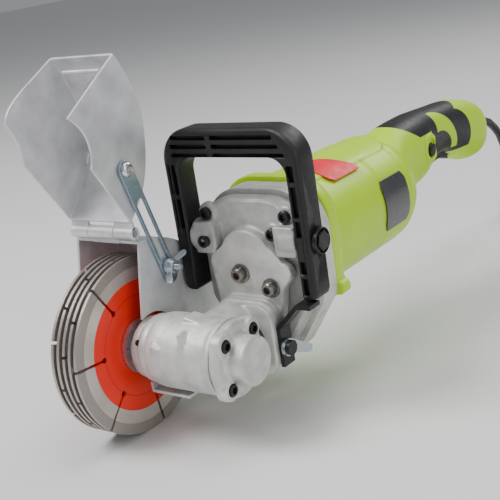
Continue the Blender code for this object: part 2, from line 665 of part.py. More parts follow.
COVER_WRAP = ((-1.0, 93.7), (12.5, 107.0), (18.0, 114.2), (23.8, 126.5), (27.7, 140.3), (30.3, 158.6),
              (29.4, 170.5), (26.5, 182.8), (18.2, 201.4), (12.2, 210.8))
COVER_TIP = (-41.0, 178.0)
COVER_FAR_EDGE = ((-6.9, 201.2), (-21.5, 193.9), (-32.5, 187.2), (-39.5, 180.5), (-42.0, 175.0),
                  (-36.2, 163.9), (-33.6, 153.0), (-33.0, 143.1))


def build_cover():
    """Flip cover, drawn where it stands when swung open about the hinge."""
    notch = [turn_point(p, (0, HINGE_Z), -COVER_OPEN_DEG) for p in arc((0, 0), 28.5, 190, 116, 7)]
    cover = channel("flip_cover", [*COVER_WRAP, COVER_TIP, *notch], len(COVER_WRAP), "guard_steel",
                    far_edge=COVER_FAR_EDGE)
    spans = [(-45, -28.2), (-2.8, 15)]
    knuckles(cover, spans, (-4.5, 87), (-1.0, 94.5))
    cut(cover, rod("arm_screw_hole", 3 + GAP, (GUARD_NEAR_X - 6, *ARM_PIVOT), 12, "X", sides=12))
    return cover


def build_arm():
    """Slotted link: turns on a screw in the cover and slides over the guard's stud."""
    angle = math.degrees(math.atan2(STUD[1] - ARM_PIVOT[1], STUD[0] - ARM_PIVOT[0]))
    reach = ARM_LENGTH
    bar = arc((0, 0), ARM_HALF_W, 90, 270, 8) + arc((reach, 0), ARM_HALF_W, -90, 90, 8)
    slot = (arc((ARM_SLOT_START, 0), SLOT_HALF_W, 90, 270, 7)
            + arc((reach - 1.5, 0), SLOT_HALF_W, -90, 90, 7))
    hole = circle((0, 0), 3 + GAP, 16)

    def aim(points):
        return [turn_point((ARM_PIVOT[0] + a, ARM_PIVOT[1] + b), ARM_PIVOT, angle) for a, b in points]

    plate("link_arm", aim(bar), ARM_X[1] - ARM_X[0], "X", sum(ARM_X) / 2, "zinc_steel",
          [aim(slot), aim(hole)])
    turned("arm_screw", [(GUARD_NEAR_X - 4, 5), (GUARD_NEAR_X - 2.3, 5), (GUARD_NEAR_X - 2.25, 3),
                         (ARM_X[1] + GAP, 3), (ARM_X[1] + GAP + 0.05, 5.2), (ARM_X[1] + 2.4, 4.4),
                         (ARM_X[1] + 3.2, 2.4)], "X", (0, *ARM_PIVOT), "zinc_steel", steps=16)


def build_wing_nut():
    low = ARM_X[1] + GAP
    nut = turned("wing_nut", [(low, 6.2), (low + 2, 6.2), (low + 6.5, 4.6)], "X", (0, *STUD),
                 "zinc_steel", [(low, 2.5 + GAP), (low + 6.5, 2.5 + GAP)], steps=16)
    blade = [(low + 0.5, 3.6), (low + 4.5, 3.6), (low + 10, 11), (low + 9.5, 14.2), (low + 7, 14.6),
             (low + 2, 8)]
    for number, tilt in enumerate((38, 218)):
        wing = plate(f"wing_{number}", blade, 1.6, "Z", 0)
        wing.rotation_euler = (math.radians(tilt), 0, 0)
        wing.location = Vector((0, *STUD)) * MM
        join(nut, wing)


# ---------------------------------------------------------------- rear handle and cord
GRIP_SECTIONS = (
    # y, centre z, half width, half height
    (BARREL_BACK_Y + GAP, 57.0, 31.0, 35.0),
    (250.0, 63.0, 27.0, 34.0),
    (268.0, 68.0, 23.5, 32.0),
    (300.0, 71.0, 22.0, 30.0),
    (314.0, 74.0, 20.0, 26.5),
    (345.0, 76.0, 18.5, 22.5),
    (370.0, 70.5, 19.0, 26.5),
    (395.0, 64.0, 20.0, 29.5),
    (420.0, 59.5, 19.5, 27.0),
    (433.0, 57.5, 16.5, 22.0),
    (GRIP_END_Y, 57.0, 11.0, 15.0),
)


def grip_ring(y, centre_z, half_w, half_h, inset=0.0, count=20):
    ring = []
    for k in range(count):
        angle = 2 * math.pi * (k + 0.5) / count
        c, s = math.cos(angle), math.sin(angle)
        power = 0.85
        x = MOTOR_X + (half_w - inset) * math.copysign(abs(c) ** power, c)
        z = centre_z + (half_h - inset) * math.copysign(abs(s) ** power, s)
        ring.append((x, y, z))
    return ring


def build_rear_handle():
    """Two half shells, parted on the tool's middle plane."""
    wall = 3.0
    inner = [grip_ring(*section, inset=wall) for section in GRIP_SECTIONS[:-1]]
    inner[0] = [(x, BARREL_BACK_Y - 2, z) for x, _, z in inner[0]]
    inner[-1] = [(x, y - 0.5, z) for x, y, z in inner[-1]]
    hollow = loft("grip_hollow", inner)
    slot = box("trigger_slot", (MOTOR_X - 7.5, 318.5, 40), (MOTOR_X + 7.5, 364.5, 66))
    gland_hole = rod("gland_hole", 7.3, (MOTOR_X, 425, 57), 30, "Y")
    button_hole = rod("button_hole", 6.3, (MOTOR_X + 5, 300, 69), 30, "X")
    for name, side in (("left", -1), ("right", 1)):
        shell = loft(f"rear_handle_{name}", [grip_ring(*section) for section in GRIP_SECTIONS],
                     "black_plastic")
        away = box(f"half_cut_{name}", (MOTOR_X - 60 if side > 0 else MOTOR_X - GAP / 2, 200, -20),
                   (MOTOR_X + GAP / 2 if side > 0 else MOTOR_X + 60, 460, 160))
        cut(shell, hollow, slot, gland_hole, away)
        if side > 0:
            cut(shell, button_hole)
    rod("lock_button", 6.0, (MOTOR_X + 12, 300, 69), 12.5, "X", "black_plastic", sides=20)
    trigger_outline = ([(320, 62), (320, 53), (326, 49)] + [(345, 50.0), (356, 47.5)]
                       + [(361, 44.5), (361, 62)])
    plate("trigger", trigger_outline, 14, "X", MOTOR_X, "black_plastic")
    box("switch_body", (MOTOR_X - 9, 322, 68), (MOTOR_X + 9, 352, 90), "black_plastic")


def build_cord():
    """Strain relief, the cord down to the floor, the coil and the plug that lies on it."""
    turned("cord_gland", [(427, 10), (431.5, 10), (431.7, 6.9), (438.6, 6.9), (438.7, 8.4), (443, 8.4),
                          (GLAND_END_Y, 5.2)], "Y", (MOTOR_X, 0, 57), "cord_rubber", steps=20)
    points = smooth_path([Vector(p) for p in CORD_ROUTE], 44)
    curve = bpy.data.curves.new("cord", "CURVE")
    curve.dimensions = "3D"
    curve.bevel_depth = CORD_R * MM
    curve.bevel_resolution = 2
    curve.use_fill_caps = True
    spline = curve.splines.new("POLY")
    spline.points.add(len(points) - 1)
    for point, co in zip(spline.points, points):
        point.co = (*(co * MM), 1.0)
    to_mesh(place(bpy.data.objects.new("cord", curve), "cord_rubber"))
    low = FLOOR_Z + 0.2
    top = low + COIL_HEIGHT
    turned("cord_coil", [(low, COIL_RADII[1] - 3), (low + 3, COIL_RADII[1]), (top - 3, COIL_RADII[1]),
                         (top, COIL_RADII[1] - 3)], "Z", (*COIL_CENTRE, 0), "cord_rubber",
           [(low, COIL_RADII[0] + 3), (low + 3, COIL_RADII[0]), (top - 3, COIL_RADII[0]),
            (top, COIL_RADII[0] + 3)], steps=32)
    plug_x, plug_z = COIL_CENTRE[0] + 42, top + PLUG_R + GAP
    neck_y = COIL_CENTRE[1]
    plug = turned("mains_plug", [(neck_y - 58, PLUG_R), (neck_y - 38, PLUG_R), (neck_y - 28, 13),
                                 (neck_y - 20, 7.5), (neck_y, 5)], "Y", (plug_x, 0, plug_z),
                  "black_plastic", steps=20)
    for side in (-1, 1):
        join(plug, rod(f"plug_pin_{side}", 2.4, (plug_x + side * 9.5, neck_y - 79, plug_z), 23, "Y",
                       sides=12))


def smooth_path(points, count):
    """Points spread evenly by parameter on a Catmull-Rom curve through the given points."""
    padded = [2 * points[0] - points[1], *points, 2 * points[-1] - points[-2]]
    spans = len(points) - 1
    result = []
    for t in np.linspace(0, spans, count):
        i = min(int(t), spans - 1)
        u = t - i
        p0, p1, p2, p3 = padded[i:i + 4]
        result.append(0.5 * (2 * p1 + (p2 - p0) * u + (2 * p0 - 5 * p1 + 4 * p2 - p3) * u ** 2
                             + (3 * p1 - p0 - 3 * p2 + p3) * u ** 3))
    return result


def main():
    build_discs()
    build_spindle()
    build_gears()
    build_bearings()
    build_spindle_housing()
    build_flange_screws()
    build_end_cap()
    build_gear_case()
    build_motor_housing()
    side_panel("label_panel", 168, 207, -24, 28, "black_plastic")
    side_panel("colour_panel", 116, 158, 38, 84, "red_panel")
    build_front_handle()
    build_brace()
    build_guard()
    build_cover()
    build_arm()
    build_wing_nut()
    build_rear_handle()
    build_cord()


clear_scene()
PARTS = make_collection("wall_chaser")
CUTTERS = make_collection("cutters")
SHADES = {name: make_material(name) for name in MATERIALS}
TOOL = bpy.data.objects.new("wall_chaser", None)
TOOL.location = Vector((-(LEFT_X + RIGHT_X) / 2, -(FRONT_Y + REAR_Y) / 2, -FLOOR_Z)) * MM
PARTS.objects.link(TOOL)
main()
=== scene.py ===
"""Looks of the wall chaser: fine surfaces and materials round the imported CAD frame.

Sizes are millimetres in the tool's own frame, whose origin is the middle of the near disc's outer
face: X runs along the disc axis to the spindle's end cap, Y back along the motor and Z up. at() turns
them into the row frame's metres.
"""
import math

import bmesh
import bpy
import numpy as np
from mathutils import Matrix, Vector


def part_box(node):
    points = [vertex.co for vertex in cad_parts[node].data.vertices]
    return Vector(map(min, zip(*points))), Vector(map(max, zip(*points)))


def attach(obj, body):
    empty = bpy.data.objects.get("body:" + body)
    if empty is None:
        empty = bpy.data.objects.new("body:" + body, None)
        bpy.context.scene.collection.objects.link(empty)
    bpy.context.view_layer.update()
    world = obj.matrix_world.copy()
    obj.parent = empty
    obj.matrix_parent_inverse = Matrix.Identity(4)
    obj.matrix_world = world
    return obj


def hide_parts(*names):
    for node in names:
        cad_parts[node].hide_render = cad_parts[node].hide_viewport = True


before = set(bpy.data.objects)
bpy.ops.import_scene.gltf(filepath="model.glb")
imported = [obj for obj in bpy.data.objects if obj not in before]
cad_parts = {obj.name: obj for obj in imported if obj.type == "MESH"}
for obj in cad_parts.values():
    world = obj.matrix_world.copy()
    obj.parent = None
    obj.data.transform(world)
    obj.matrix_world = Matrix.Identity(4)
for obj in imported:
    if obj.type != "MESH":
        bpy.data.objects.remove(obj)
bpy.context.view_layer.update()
MM = 0.001

disc_low, disc_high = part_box("disc_1")
ORIGIN = Vector((disc_high[0], (disc_low[1] + disc_high[1]) / 2,
                 (disc_low[2] + disc_high[2]) / 2))

# sizes shared by several pieces
DISC_R = 66.5
GUARD_R = 79.5
GUARD_X = (-47.0, 15.0)
HINGE_Z = 86.0
COVER_OPEN_DEG = 140.4
MOTOR_X = 74.0
MOTOR_Z = 55.0
FLANGE_SCREWS = ((69.0, 45.0), (94.0, 36.0))
HANDLE_Y = (40.0, 61.0)
HANDLE_HALF_W = 58.0
BOLT_YZ = (52.5, 70.0)
STUD = (24.5, 53.5)
ARM_PIVOT = (0.0, 132.5)
ARM_X = (15.9, 17.9)
CORD_D = 8.0
COIL_CENTRE = (120.0, 565.0)
PLUG_ASIDE = 42.0  # from the coil's middle to the plug's axis
DISC_COUNT = 5
DISC_PITCH = 5.5
SLOTS = 7
FIRST_SLOT_DEG = 20.4
SLOT_EYE_AT = 38.5
SCREW_HOLE_R = 3.4
BOLT_HOLE_R = 4.4
PINION_BORE_R = 17.5
CAP_SCREWS = tuple((y, z) for y in (-16, 16) for z in (-16, 16))
CAMERA_LENS = 74.44
CAMERA_AT = (506.6, -503.2, 276.9)
FLOOR_HALF = 6.0  # metres
FLOOR_Z = -DISC_R


def at(x, y, z):
    return ORIGIN + Vector((x, y, z)) * MM


def add_object(name, data):
    obj = bpy.data.objects.new(name, data)
    bpy.context.scene.collection.objects.link(obj)
    return obj


# ---------------------------------------------------------------- camera
def build_camera():
    data = bpy.data.cameras.new("camera")
    data.lens = CAMERA_LENS
    data.sensor_width = 36.0
    data.clip_start = 0.01
    camera = add_object("camera", data)
    azimuth, elevation, roll_x = math.radians(38.0), math.radians(17.14), -0.1489
    back = Vector((math.sin(azimuth) * math.cos(elevation),
                   -math.cos(azimuth) * math.cos(elevation), math.sin(elevation)))
    right = Vector((0.8067, 0.5718, roll_x))
    right = (right - back * right.dot(back)).normalized()
    up = back.cross(right)
    matrix = Matrix((right, up, back)).transposed().to_4x4()
    matrix.translation = at(*CAMERA_AT)
    camera.matrix_world = matrix
    bpy.context.scene.camera = camera


# ---------------------------------------------------------------- materials
GREEN_PAINT = (0.44, 0.71, 0.0)


class Shader:
    """A Principled material and short ways to add nodes to it."""

    def __init__(self, name, colour, roughness, metallic=0.0, coat=0.0, specular=0.5):
        self.material = bpy.data.materials.new(name)
        self.material.use_nodes = True
        self.tree = self.material.node_tree
        self.bsdf = self.tree.nodes["Principled BSDF"]
        self.bsdf.inputs["Base Color"].default_value = (*colour, 1.0)
        self.bsdf.inputs["Roughness"].default_value = roughness
        self.bsdf.inputs["Metallic"].default_value = metallic
        self.bsdf.inputs["Coat Weight"].default_value = coat
        self.bsdf.inputs["Coat Roughness"].default_value = 0.25
        self.bsdf.inputs["Specular IOR Level"].default_value = specular
        self.colour = colour
        self.normal = None
        self.coords = self.node("ShaderNodeTexCoord").outputs["Object"]

    def node(self, kind, **settings):
        node = self.tree.nodes.new(kind)
        for key, value in settings.items():
            setattr(node, key, value)
        return node

    def link(self, source, target):
        self.tree.links.new(source, target)

    def math(self, operation, a, b=None):
        node = self.node("ShaderNodeMath", operation=operation)
        for socket, value in zip(node.inputs, (a, b)):
            if value is None:
                continue
            if isinstance(value, (int, float)):
                socket.default_value = value
            else:
                self.link(value, socket)
        return node.outputs[0]

    def noise(self, scale, detail=2.0, coords=None, stretch=None):
        source = coords or self.coords
        if stretch:
            mapping = self.node("ShaderNodeMapping")
            mapping.inputs["Scale"].default_value = stretch
            self.link(source, mapping.inputs["Vector"])
            source = mapping.outputs[0]
        noise = self.node("ShaderNodeTexNoise")
        noise.inputs["Scale"].default_value = scale
        noise.inputs["Detail"].default_value = detail
        self.link(source, noise.inputs["Vector"])
        return noise.outputs["Fac"]

    def ramp(self, factor, stops):
        ramp = self.node("ShaderNodeValToRGB")
        elements = ramp.color_ramp.elements
        while len(elements) < len(stops):
            elements.new(0.5)
        for element, (position, colour) in zip(elements, stops):
            element.position = position
            element.color = (*colour, 1.0) if len(colour) == 3 else colour
        self.link(factor, ramp.inputs[0])
        return ramp.outputs[0]

    def vary_colour(self, scale, amount, stretch=None):
        """Blotches of a little darker and lighter base colour."""
        dark = tuple(c * (1 - amount) for c in self.colour)
        light = tuple(min(1.0, c * (1 + amount)) for c in self.colour)
        blotch = self.noise(scale, 4.0, stretch=stretch)
        self.link(self.ramp(blotch, [(0.3, dark), (0.7, light)]), self.bsdf.inputs["Base Color"])

    def vary_roughness(self, scale, low, high, stretch=None):
        blotch = self.noise(scale, 3.0, stretch=stretch)
        self.link(self.ramp(blotch, [(0.3, (low,) * 3), (0.7, (high,) * 3)]),
                  self.bsdf.inputs["Roughness"])

    def bump(self, height, strength, distance=0.0004):
        bump = self.node("ShaderNodeBump")
        bump.inputs["Strength"].default_value = strength
        bump.inputs["Distance"].default_value = distance
        self.link(height, bump.inputs["Height"])
        if self.normal is not None:
            self.link(self.normal, bump.inputs["Normal"])
        self.normal = bump.outputs[0]
        self.link(self.normal, self.bsdf.inputs["Normal"])

    def distance_from(self, point, axis):
        """Distance in metres from a line through a point along an axis."""
        flat = self.node("ShaderNodeVectorMath", operation="SUBTRACT")
        self.link(self.coords, flat.inputs[0])
        flat.inputs[1].default_value = point
        mask = self.node("ShaderNodeVectorMath", operation="MULTIPLY")
        self.link(flat.outputs[0], mask.inputs[0])
        mask.inputs[1].default_value = [0.0 if k == "XYZ".index(axis) else 1.0 for k in range(3)]
        length = self.node("ShaderNodeVectorMath", operation="LENGTH")
        self.link(mask.outputs[0], length.inputs[0])
        return length.outputs["Value"]

    def inside(self, distance, radius, soft=0.0004):
        """1 where a distance is under a radius, with a soft edge."""
        return self.math("MINIMUM", 1.0, self.math("MAXIMUM", 0.0, self.math(
            "DIVIDE", self.math("SUBTRACT", radius, distance), soft)))

    def mix(self, factor, first, second):
        node = self.node("ShaderNodeMix", data_type="RGBA")
        self.link(factor, node.inputs["Factor"])
        for socket, value in ((node.inputs[6], first), (node.inputs[7], second)):
            if isinstance(value, tuple):
                socket.default_value = (*value, 1.0)
            else:
                self.link(value, socket)
        return node.outputs[2]


def surface(name, colour, roughness, blotch, gloss, bumps, stretch=None, **more):
    """Blotchy colour and gloss, and a bump for each (scale, detail, strength, distance)."""
    shader = Shader(name, colour, roughness, **more)
    shader.vary_colour(*blotch, stretch)
    shader.vary_roughness(*gloss, stretch)
    for scale, detail, strength, distance in bumps:
        shader.bump(shader.noise(scale, detail, stretch=stretch), strength, distance)
    return shader.material


def cast_aluminium(name, colour):
    return surface(name, colour, 0.46, (90, 0.16), (120, 0.38, 0.56),
                   [(1300, 4.0, 0.45, 0.0003), (150, 3.0, 0.3, 0.001)], metallic=0.35)


def plated_steel(name, colour, roughness, brushed=(1, 1, 1)):
    return surface(name, colour, roughness, (90, 0.12), (300, roughness * 0.75, roughness * 1.35),
                   [(900, 2.0, 0.1, 0.0001)], brushed, metallic=0.9)


def plain(name, colour, roughness, metallic=0.0, grain=1200, strength=0.2, coat=0.0):
    return surface(name, colour, roughness, (60, 0.12),
                   (200, roughness * 0.8, min(1.0, roughness * 1.25)),
                   [(grain, 2.0, strength, 0.0002)], metallic=metallic, coat=coat)


def disc_steel():
    """Ground steel with turning marks, a red painted middle and a sandy sintered rim."""
    shader = Shader("disc_steel", (0.66, 0.61, 0.57), 0.34, metallic=0.6)
    radius = shader.distance_from(ORIGIN, "X")
    rings = shader.node("ShaderNodeCombineXYZ")
    shader.link(radius, rings.inputs[0])
    marks = shader.noise(2600, 3.0, coords=rings.outputs[0])
    blotch = shader.noise(40, 3.0)
    steel = shader.ramp(marks, [(0.25, (0.62, 0.58, 0.54)), (0.75, (0.88, 0.85, 0.82))])
    tint = shader.ramp(blotch, [(0.35, (0.86, 0.82, 0.78)), (0.65, (1.0, 1.0, 1.0))])
    node = shader.node("ShaderNodeMix", data_type="RGBA", blend_type="MULTIPLY")
    node.inputs["Factor"].default_value = 1.0
    shader.link(steel, node.inputs[6])
    shader.link(tint, node.inputs[7])
    rim = shader.inside(radius, 0.0585)
    body = shader.mix(rim, (0.42, 0.38, 0.35), node.outputs[2])
    paint = shader.inside(radius, 0.0489, 0.0003)
    ring = shader.math("MULTIPLY", shader.inside(radius, 0.0383, 0.0003),
                       shader.math("SUBTRACT", 1.0, shader.inside(radius, 0.0375, 0.0003)))
    red = shader.mix(ring, (0.85, 0.022, 0.006), (0.6, 0.012, 0.005))
    shader.link(shader.mix(paint, body, red), shader.bsdf.inputs["Base Color"])
    shader.link(shader.math("MULTIPLY", 0.7, shader.math("SUBTRACT", 1.0, paint)),
                shader.bsdf.inputs["Metallic"])
    shader.bump(marks, 0.12, 0.0001)
    grit = shader.math("MULTIPLY", shader.noise(1800, 3.0), shader.math("SUBTRACT", 1.0, rim))
    shader.bump(grit, 0.5, 0.0004)
    return shader.material


def grip_material():
    """Soft black grip with green crescents and a green end, painted by place."""
    black = (0.01, 0.01, 0.011)
    shader = Shader("grip_two_tone", black, 0.42, specular=0.4)

    def disc(y, z, radius):
        return shader.inside(shader.distance_from(at(0, y, z), "X"), radius * MM, 0.0006)

    def times(*masks):
        result = masks[0]
        for mask in masks[1:]:
            result = shader.math("MULTIPLY", result, mask)
        return result

    def outside(mask):
        return shader.math("SUBTRACT", 1.0, mask)

    def past(a, b, limit):
        """1 where a * y + b * z, in mm, is over a limit."""
        dot = shader.node("ShaderNodeVectorMath", operation="DOT_PRODUCT")
        shader.link(shader.coords, dot.inputs[0])
        dot.inputs[1].default_value = (0.0, a, b)
        edge = (a * ORIGIN.y + b * ORIGIN.z) + limit * MM
        return outside(shader.inside(dot.outputs["Value"], edge, 0.0006))

    crescent = times(disc(318, 52, 45.5), outside(disc(325, 48, 31.5)), outside(disc(296, 83, 25.5)),
                     past(0, 1, 57))
    inner_cut = times(disc(364, 66, 25), past(0, 1, 52.5))
    end = times(past(1, 0, 352), past(1, -1.25, 256), outside(inner_cut))
    base = times(outside(past(1, 0, 308)), outside(past(0.62, 1, 260)))
    strip = times(outside(past(1, 0, 308)), outside(past(0, 1, 84)))
    mask = shader.math("MAXIMUM", shader.math("MAXIMUM", crescent, end),
                       shader.math("MAXIMUM", base, strip))
    shader.link(shader.mix(mask, black, GREEN_PAINT), shader.bsdf.inputs["Base Color"])
    shader.vary_roughness(250, 0.38, 0.54)
    shader.bump(shader.noise(2400, 2.0), 0.3, 0.00015)
    shader.bump(mask, 0.35, 0.0006)
    return shader.material


CAST = cast_aluminium("cast_aluminium", (0.6, 0.6, 0.575))
CAST_GREY = cast_aluminium("cast_cover", (0.47, 0.47, 0.445))
LACQUER = surface("guard_lacquer", (0.66, 0.66, 0.68), 0.38, (55, 0.16), (60, 0.28, 0.46),
                  [(700, 4.0, 0.3, 0.0003), (60, 3.0, 0.2, 0.002)], metallic=0.4)
GREEN = surface("green_plastic", GREEN_PAINT, 0.36, (22, 0.04), (300, 0.3, 0.42),
                [(2200, 2.0, 0.12, 0.0001)], coat=0.12, specular=0.35)
BLACK = surface("black_plastic", (0.009, 0.009, 0.01), 0.44, (60, 0.2), (250, 0.4, 0.55),
                [(2600, 2.0, 0.3, 0.00015)], specular=0.4)
ZINC = plated_steel("zinc_plate", (0.5, 0.56, 0.61), 0.3)
ARM_ZINC = plated_steel("arm_zinc", (0.33, 0.42, 0.5), 0.34, (1, 1, 8))
BRIGHT = plated_steel("bright_steel", (0.72, 0.72, 0.72), 0.22)
SCREW = plated_steel("screw_steel", (0.2, 0.19, 0.17), 0.28)
OXIDE = plain("black_oxide", (0.03, 0.03, 0.032), 0.36, 0.7)
DISC = disc_steel()
GRIP = grip_material()
STEEL = plated_steel("gear_steel", (0.4, 0.4, 0.41), 0.28)
COPPER = plated_steel("copper", (0.7, 0.33, 0.18), 0.32)
CARBON = plain("carbon", (0.03, 0.03, 0.03), 0.7)
RED = plain("red_panel", (0.72, 0.006, 0.018), 0.42, strength=0.04)
RUBBER = plain("cord_rubber", (0.02, 0.02, 0.021), 0.5, grain=1800)
LABEL = plain("label_plate", (0.035, 0.035, 0.038), 0.3, coat=0.3, strength=0.05)


# ---------------------------------------------------------------- mesh helpers
def points_arc(centre, radius, start, end, count):
    angles = np.radians(np.linspace(start, end, count))
    return [(centre[0] + radius * math.cos(a), centre[1] + radius * math.sin(a)) for a in angles]


def arcs(*rows):
    """One outline out of arcs, each row as points_arc takes it."""
    return [point for row in rows for point in points_arc(*row)]


def rounded(x_low, x_high, z_low, z_high, radius, steps):
    """A rectangle with round corners."""
    return arcs(((x_high - radius, z_high - radius), radius, 90, 0, steps),
                ((x_high - radius, z_low + radius), radius, 0, -90, steps),
                ((x_low + radius, z_low + radius), radius, -90, -180, steps),
                ((x_low + radius, z_high - radius), radius, 180, 90, steps))


def oriented(normal, a, b, depth):
    """(y, z), (x, z) or (x, y) plus the depth along the normal, as a place in the tool's frame."""
    if normal == "X":
        return at(depth, a, b)
    if normal == "Y":
        return at(a, depth, b)
    return at(a, b, depth)


def sides(bm, loops):
    """Faces between each ring of vertices and the next."""
    count = len(loops[0])
    for low, high in zip(loops, loops[1:]):
        for k in range(count):
            j = (k + 1) % count
            bm.faces.new((low[k], low[j], high[j], high[k]))


def ends(bm, loops):
    """Faces over the first ring of vertices and the last."""
    bm.faces.new(loops[0][::-1])
    bm.faces.new(loops[-1])


def prism(bm, outline, normal, low, high, taper=0.0):
    """An extruded outline; taper draws the high end's outline in towards its middle, in mm."""
    cx = sum(p[0] for p in outline) / len(outline)
    cy = sum(p[1] for p in outline) / len(outline)
    rings = []
    for depth, inset in ((low, 0.0), (high, taper)):
        ring = []
        for a, b in outline:
            size = math.hypot(a - cx, b - cy) or 1.0
            scale = 1 - inset / size
            place = oriented(normal, cx + (a - cx) * scale, cy + (b - cy) * scale, depth)
            ring.append(bm.verts.new(place))
        rings.append(ring)
    ends(bm, rings)
    sides(bm, rings)


def lathe(bm, profile, axis, centre, segments=64):
    """Turned surface, open at its ends. profile is (along, radius) from one end to the other."""
    u, v = [c for letter, c in zip("XYZ", centre) if letter != axis]
    loops = []
    for along, radius in profile:
        loop = []
        for k in range(segments):
            angle = 2 * math.pi * k / segments
            a, b = radius * math.cos(angle), radius * math.sin(angle)
            loop.append(bm.verts.new(oriented(axis, u + a, v + b, along)))
        loops.append(loop)
    sides(bm, loops)
    return loops


def solid_lathe(bm, profile, axis, centre, segments=64):
    ends(bm, lathe(bm, profile, axis, centre, segments))


def ring_lathe(bm, outer, bore, axis, centre, segments=64):
    loops = lathe(bm, outer + bore[::-1], axis, centre, segments)
    sides(bm, [loops[-1], loops[0]])


def fresh(name, bm, smooth=35):
    bmesh.ops.recalc_face_normals(bm, faces=bm.faces)
    mesh = bpy.data.meshes.new(name)
    bm.to_mesh(mesh)
    bm.free()
    obj = add_object(name, mesh)
    if smooth:
        soften(obj, smooth)
    return obj


def soften(obj, degrees):
    """Smooth shading, with the edges past an angle kept sharp."""
    obj.data.shade_smooth()
    obj.data.set_sharp_from_angle(angle=math.radians(degrees))


def bake(obj):
    """Swap an object's mesh for its evaluated one and drop the modifiers."""
    bpy.context.view_layer.update()
    evaluated = obj.evaluated_get(bpy.context.evaluated_depsgraph_get())
    mesh = bpy.data.meshes.new_from_object(evaluated)
    obj.modifiers.clear()
    obj.data = mesh
    return obj


def round_edges(obj, width, segments=3, angle=35):
    bevel = obj.modifiers.new("round", "BEVEL")
    bevel.width = width * MM
    bevel.segments = segments
    bevel.limit_method = "ANGLE"
    bevel.angle_limit = math.radians(angle)
    bevel.harden_normals = True
    return obj


def cast(name, bm, voxel=0.9, smooth=4, cutters=()):
    """One soft-edged casting out of overlapping solids: voxel remesh, relax, then clean cuts."""
    obj = fresh(name, bm, None)
    remesh = obj.modifiers.new("fuse", "REMESH")
    remesh.mode = "VOXEL"
    remesh.voxel_size = voxel * MM
    remesh.adaptivity = 0.0
    relax = obj.modifiers.new("relax", "SMOOTH")
    relax.factor = 0.5
    relax.iterations = smooth
    bake(obj)
    cut_with(obj, *cutters)
    soften(obj, 45)
    return obj


def finish_piece(obj, body, material, nodes=()):
    """Material, body and the CAD nodes that the piece stands for."""
    if material is not None:
        obj.data.materials.clear()
        obj.data.materials.append(material)
    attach(obj, body)
    if nodes:
        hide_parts(*nodes)
    return obj


def turn_point(point, centre, degrees):
    angle = math.radians(degrees)
    da, db = point[0] - centre[0], point[1] - centre[1]
    return (centre[0] + da * math.cos(angle) - db * math.sin(angle),
            centre[1] + da * math.sin(angle) + db * math.cos(angle))


def hexagon(centre, radius, turn):
    return points_arc(centre, radius, turn, turn + 300, 6)


# ---------------------------------------------------------------- cord
def coil_points():
    """The cord's way from the strain relief down to the floor, round the coil and up to the plug."""
    route = [(74, 459.4, 57), (74, 464, 56.4), (74, 475, 52.5), (73.6, 489, 43.5), (72.8, 502, 33),
             (71, 515, 18.5), (68, 527, 1), (65.5, 538, -19), (63.6, 549, -39.5), (63, 561, -53.3),
             (64.1, 573.5, -59.6), (66.7, 584.4, -61.8)]
    layer, pitch, start_deg = 8.3, 8.2, 151.9
    outer = 52.2
    total = 7 * 360 + start_deg
    for theta in np.arange(0.0, total, 9.0):
        phase = theta % 1440.0
        ramp = phase if phase < 720 else 1440 - phase
        soft = 40.0
        ramp = min(max(ramp, soft * 0.4), 720 - soft * 0.4)
        radius = outer - pitch * ramp / 360 + 8.1 * math.exp(-(theta / 70) ** 2)
        z = FLOOR_Z + 4.3
        for turn in (720, 1440, 2160):
            t = min(max((theta - turn + 90) / 180, 0.0), 1.0)
            z += layer * t * t * (3 - 2 * t)
        t = min(max((theta - (total - 120)) / 120, 0.0), 1.0)
        lift = t * t * (3 - 2 * t)
        z += 21.7 * lift
        radius = radius * (1 - lift) + PLUG_ASIDE * lift
        angle = math.radians(start_deg - theta)
        route.append((COIL_CENTRE[0] + radius * math.cos(angle),
                      COIL_CENTRE[1] + radius * math.sin(angle), z))
    route.append((COIL_CENTRE[0] + PLUG_ASIDE, COIL_CENTRE[1] + 1.0, FLOOR_Z + 50.6))
    return route


def build_cord():
    points = [at(*p) for p in coil_points()]
    curve = bpy.data.curves.new("mains_cord", "CURVE")
    curve.dimensions = "3D"
    curve.bevel_depth = CORD_D / 2 * MM
    curve.bevel_resolution = 4
    curve.use_fill_caps = True
    spline = curve.splines.new("POLY")
    spline.points.add(len(points) - 1)
    for point, co in zip(spline.points, points):
        point.co = (*co, 1.0)
    cord = add_object("mains_cord", curve)
    curve.materials.append(RUBBER)
    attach(cord, "tool")
    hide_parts("cord", "cord_coil")

    bm = bmesh.new()
    x, y, z = COIL_CENTRE[0] + PLUG_ASIDE, COIL_CENTRE[1], FLOOR_Z + 0.2 + 33.0 + 17.3
    ribs = []
    for k in range(5):
        ribs += [(y - 3 - k * 3.6, 5.3 + 0.45 * k), (y - 4.4 - k * 3.6, 5.3 + 0.45 * k),
                 (y - 4.5 - k * 3.6, 4.6 + 0.45 * k), (y - 6.4 - k * 3.6, 4.6 + 0.45 * k)]
    solid_lathe(bm, [(y + 0.5, 4.4), (y, 5.0)] + ribs
                + [(y - 22, 8.0), (y - 28, 13.2), (y - 34, 16), (y - 38, 17.0), (y - 50, 17.0),
                   (y - 51, 16.4), (y - 52, 17.0), (y - 56.8, 17.0), (y - 58, 15.6)], "Y", (x, 0, z), 48)
    for side in (-1, 1):
        solid_lathe(bm, [(y - 57, 2.4), (y - 77.6, 2.4), (y - 79, 1.2)], "Y",
                    (x + side * 9.5, 0, z), 24)
    plug = fresh("plug", bm)
    finish_piece(plug, "tool", BLACK, ["mains_plug"])


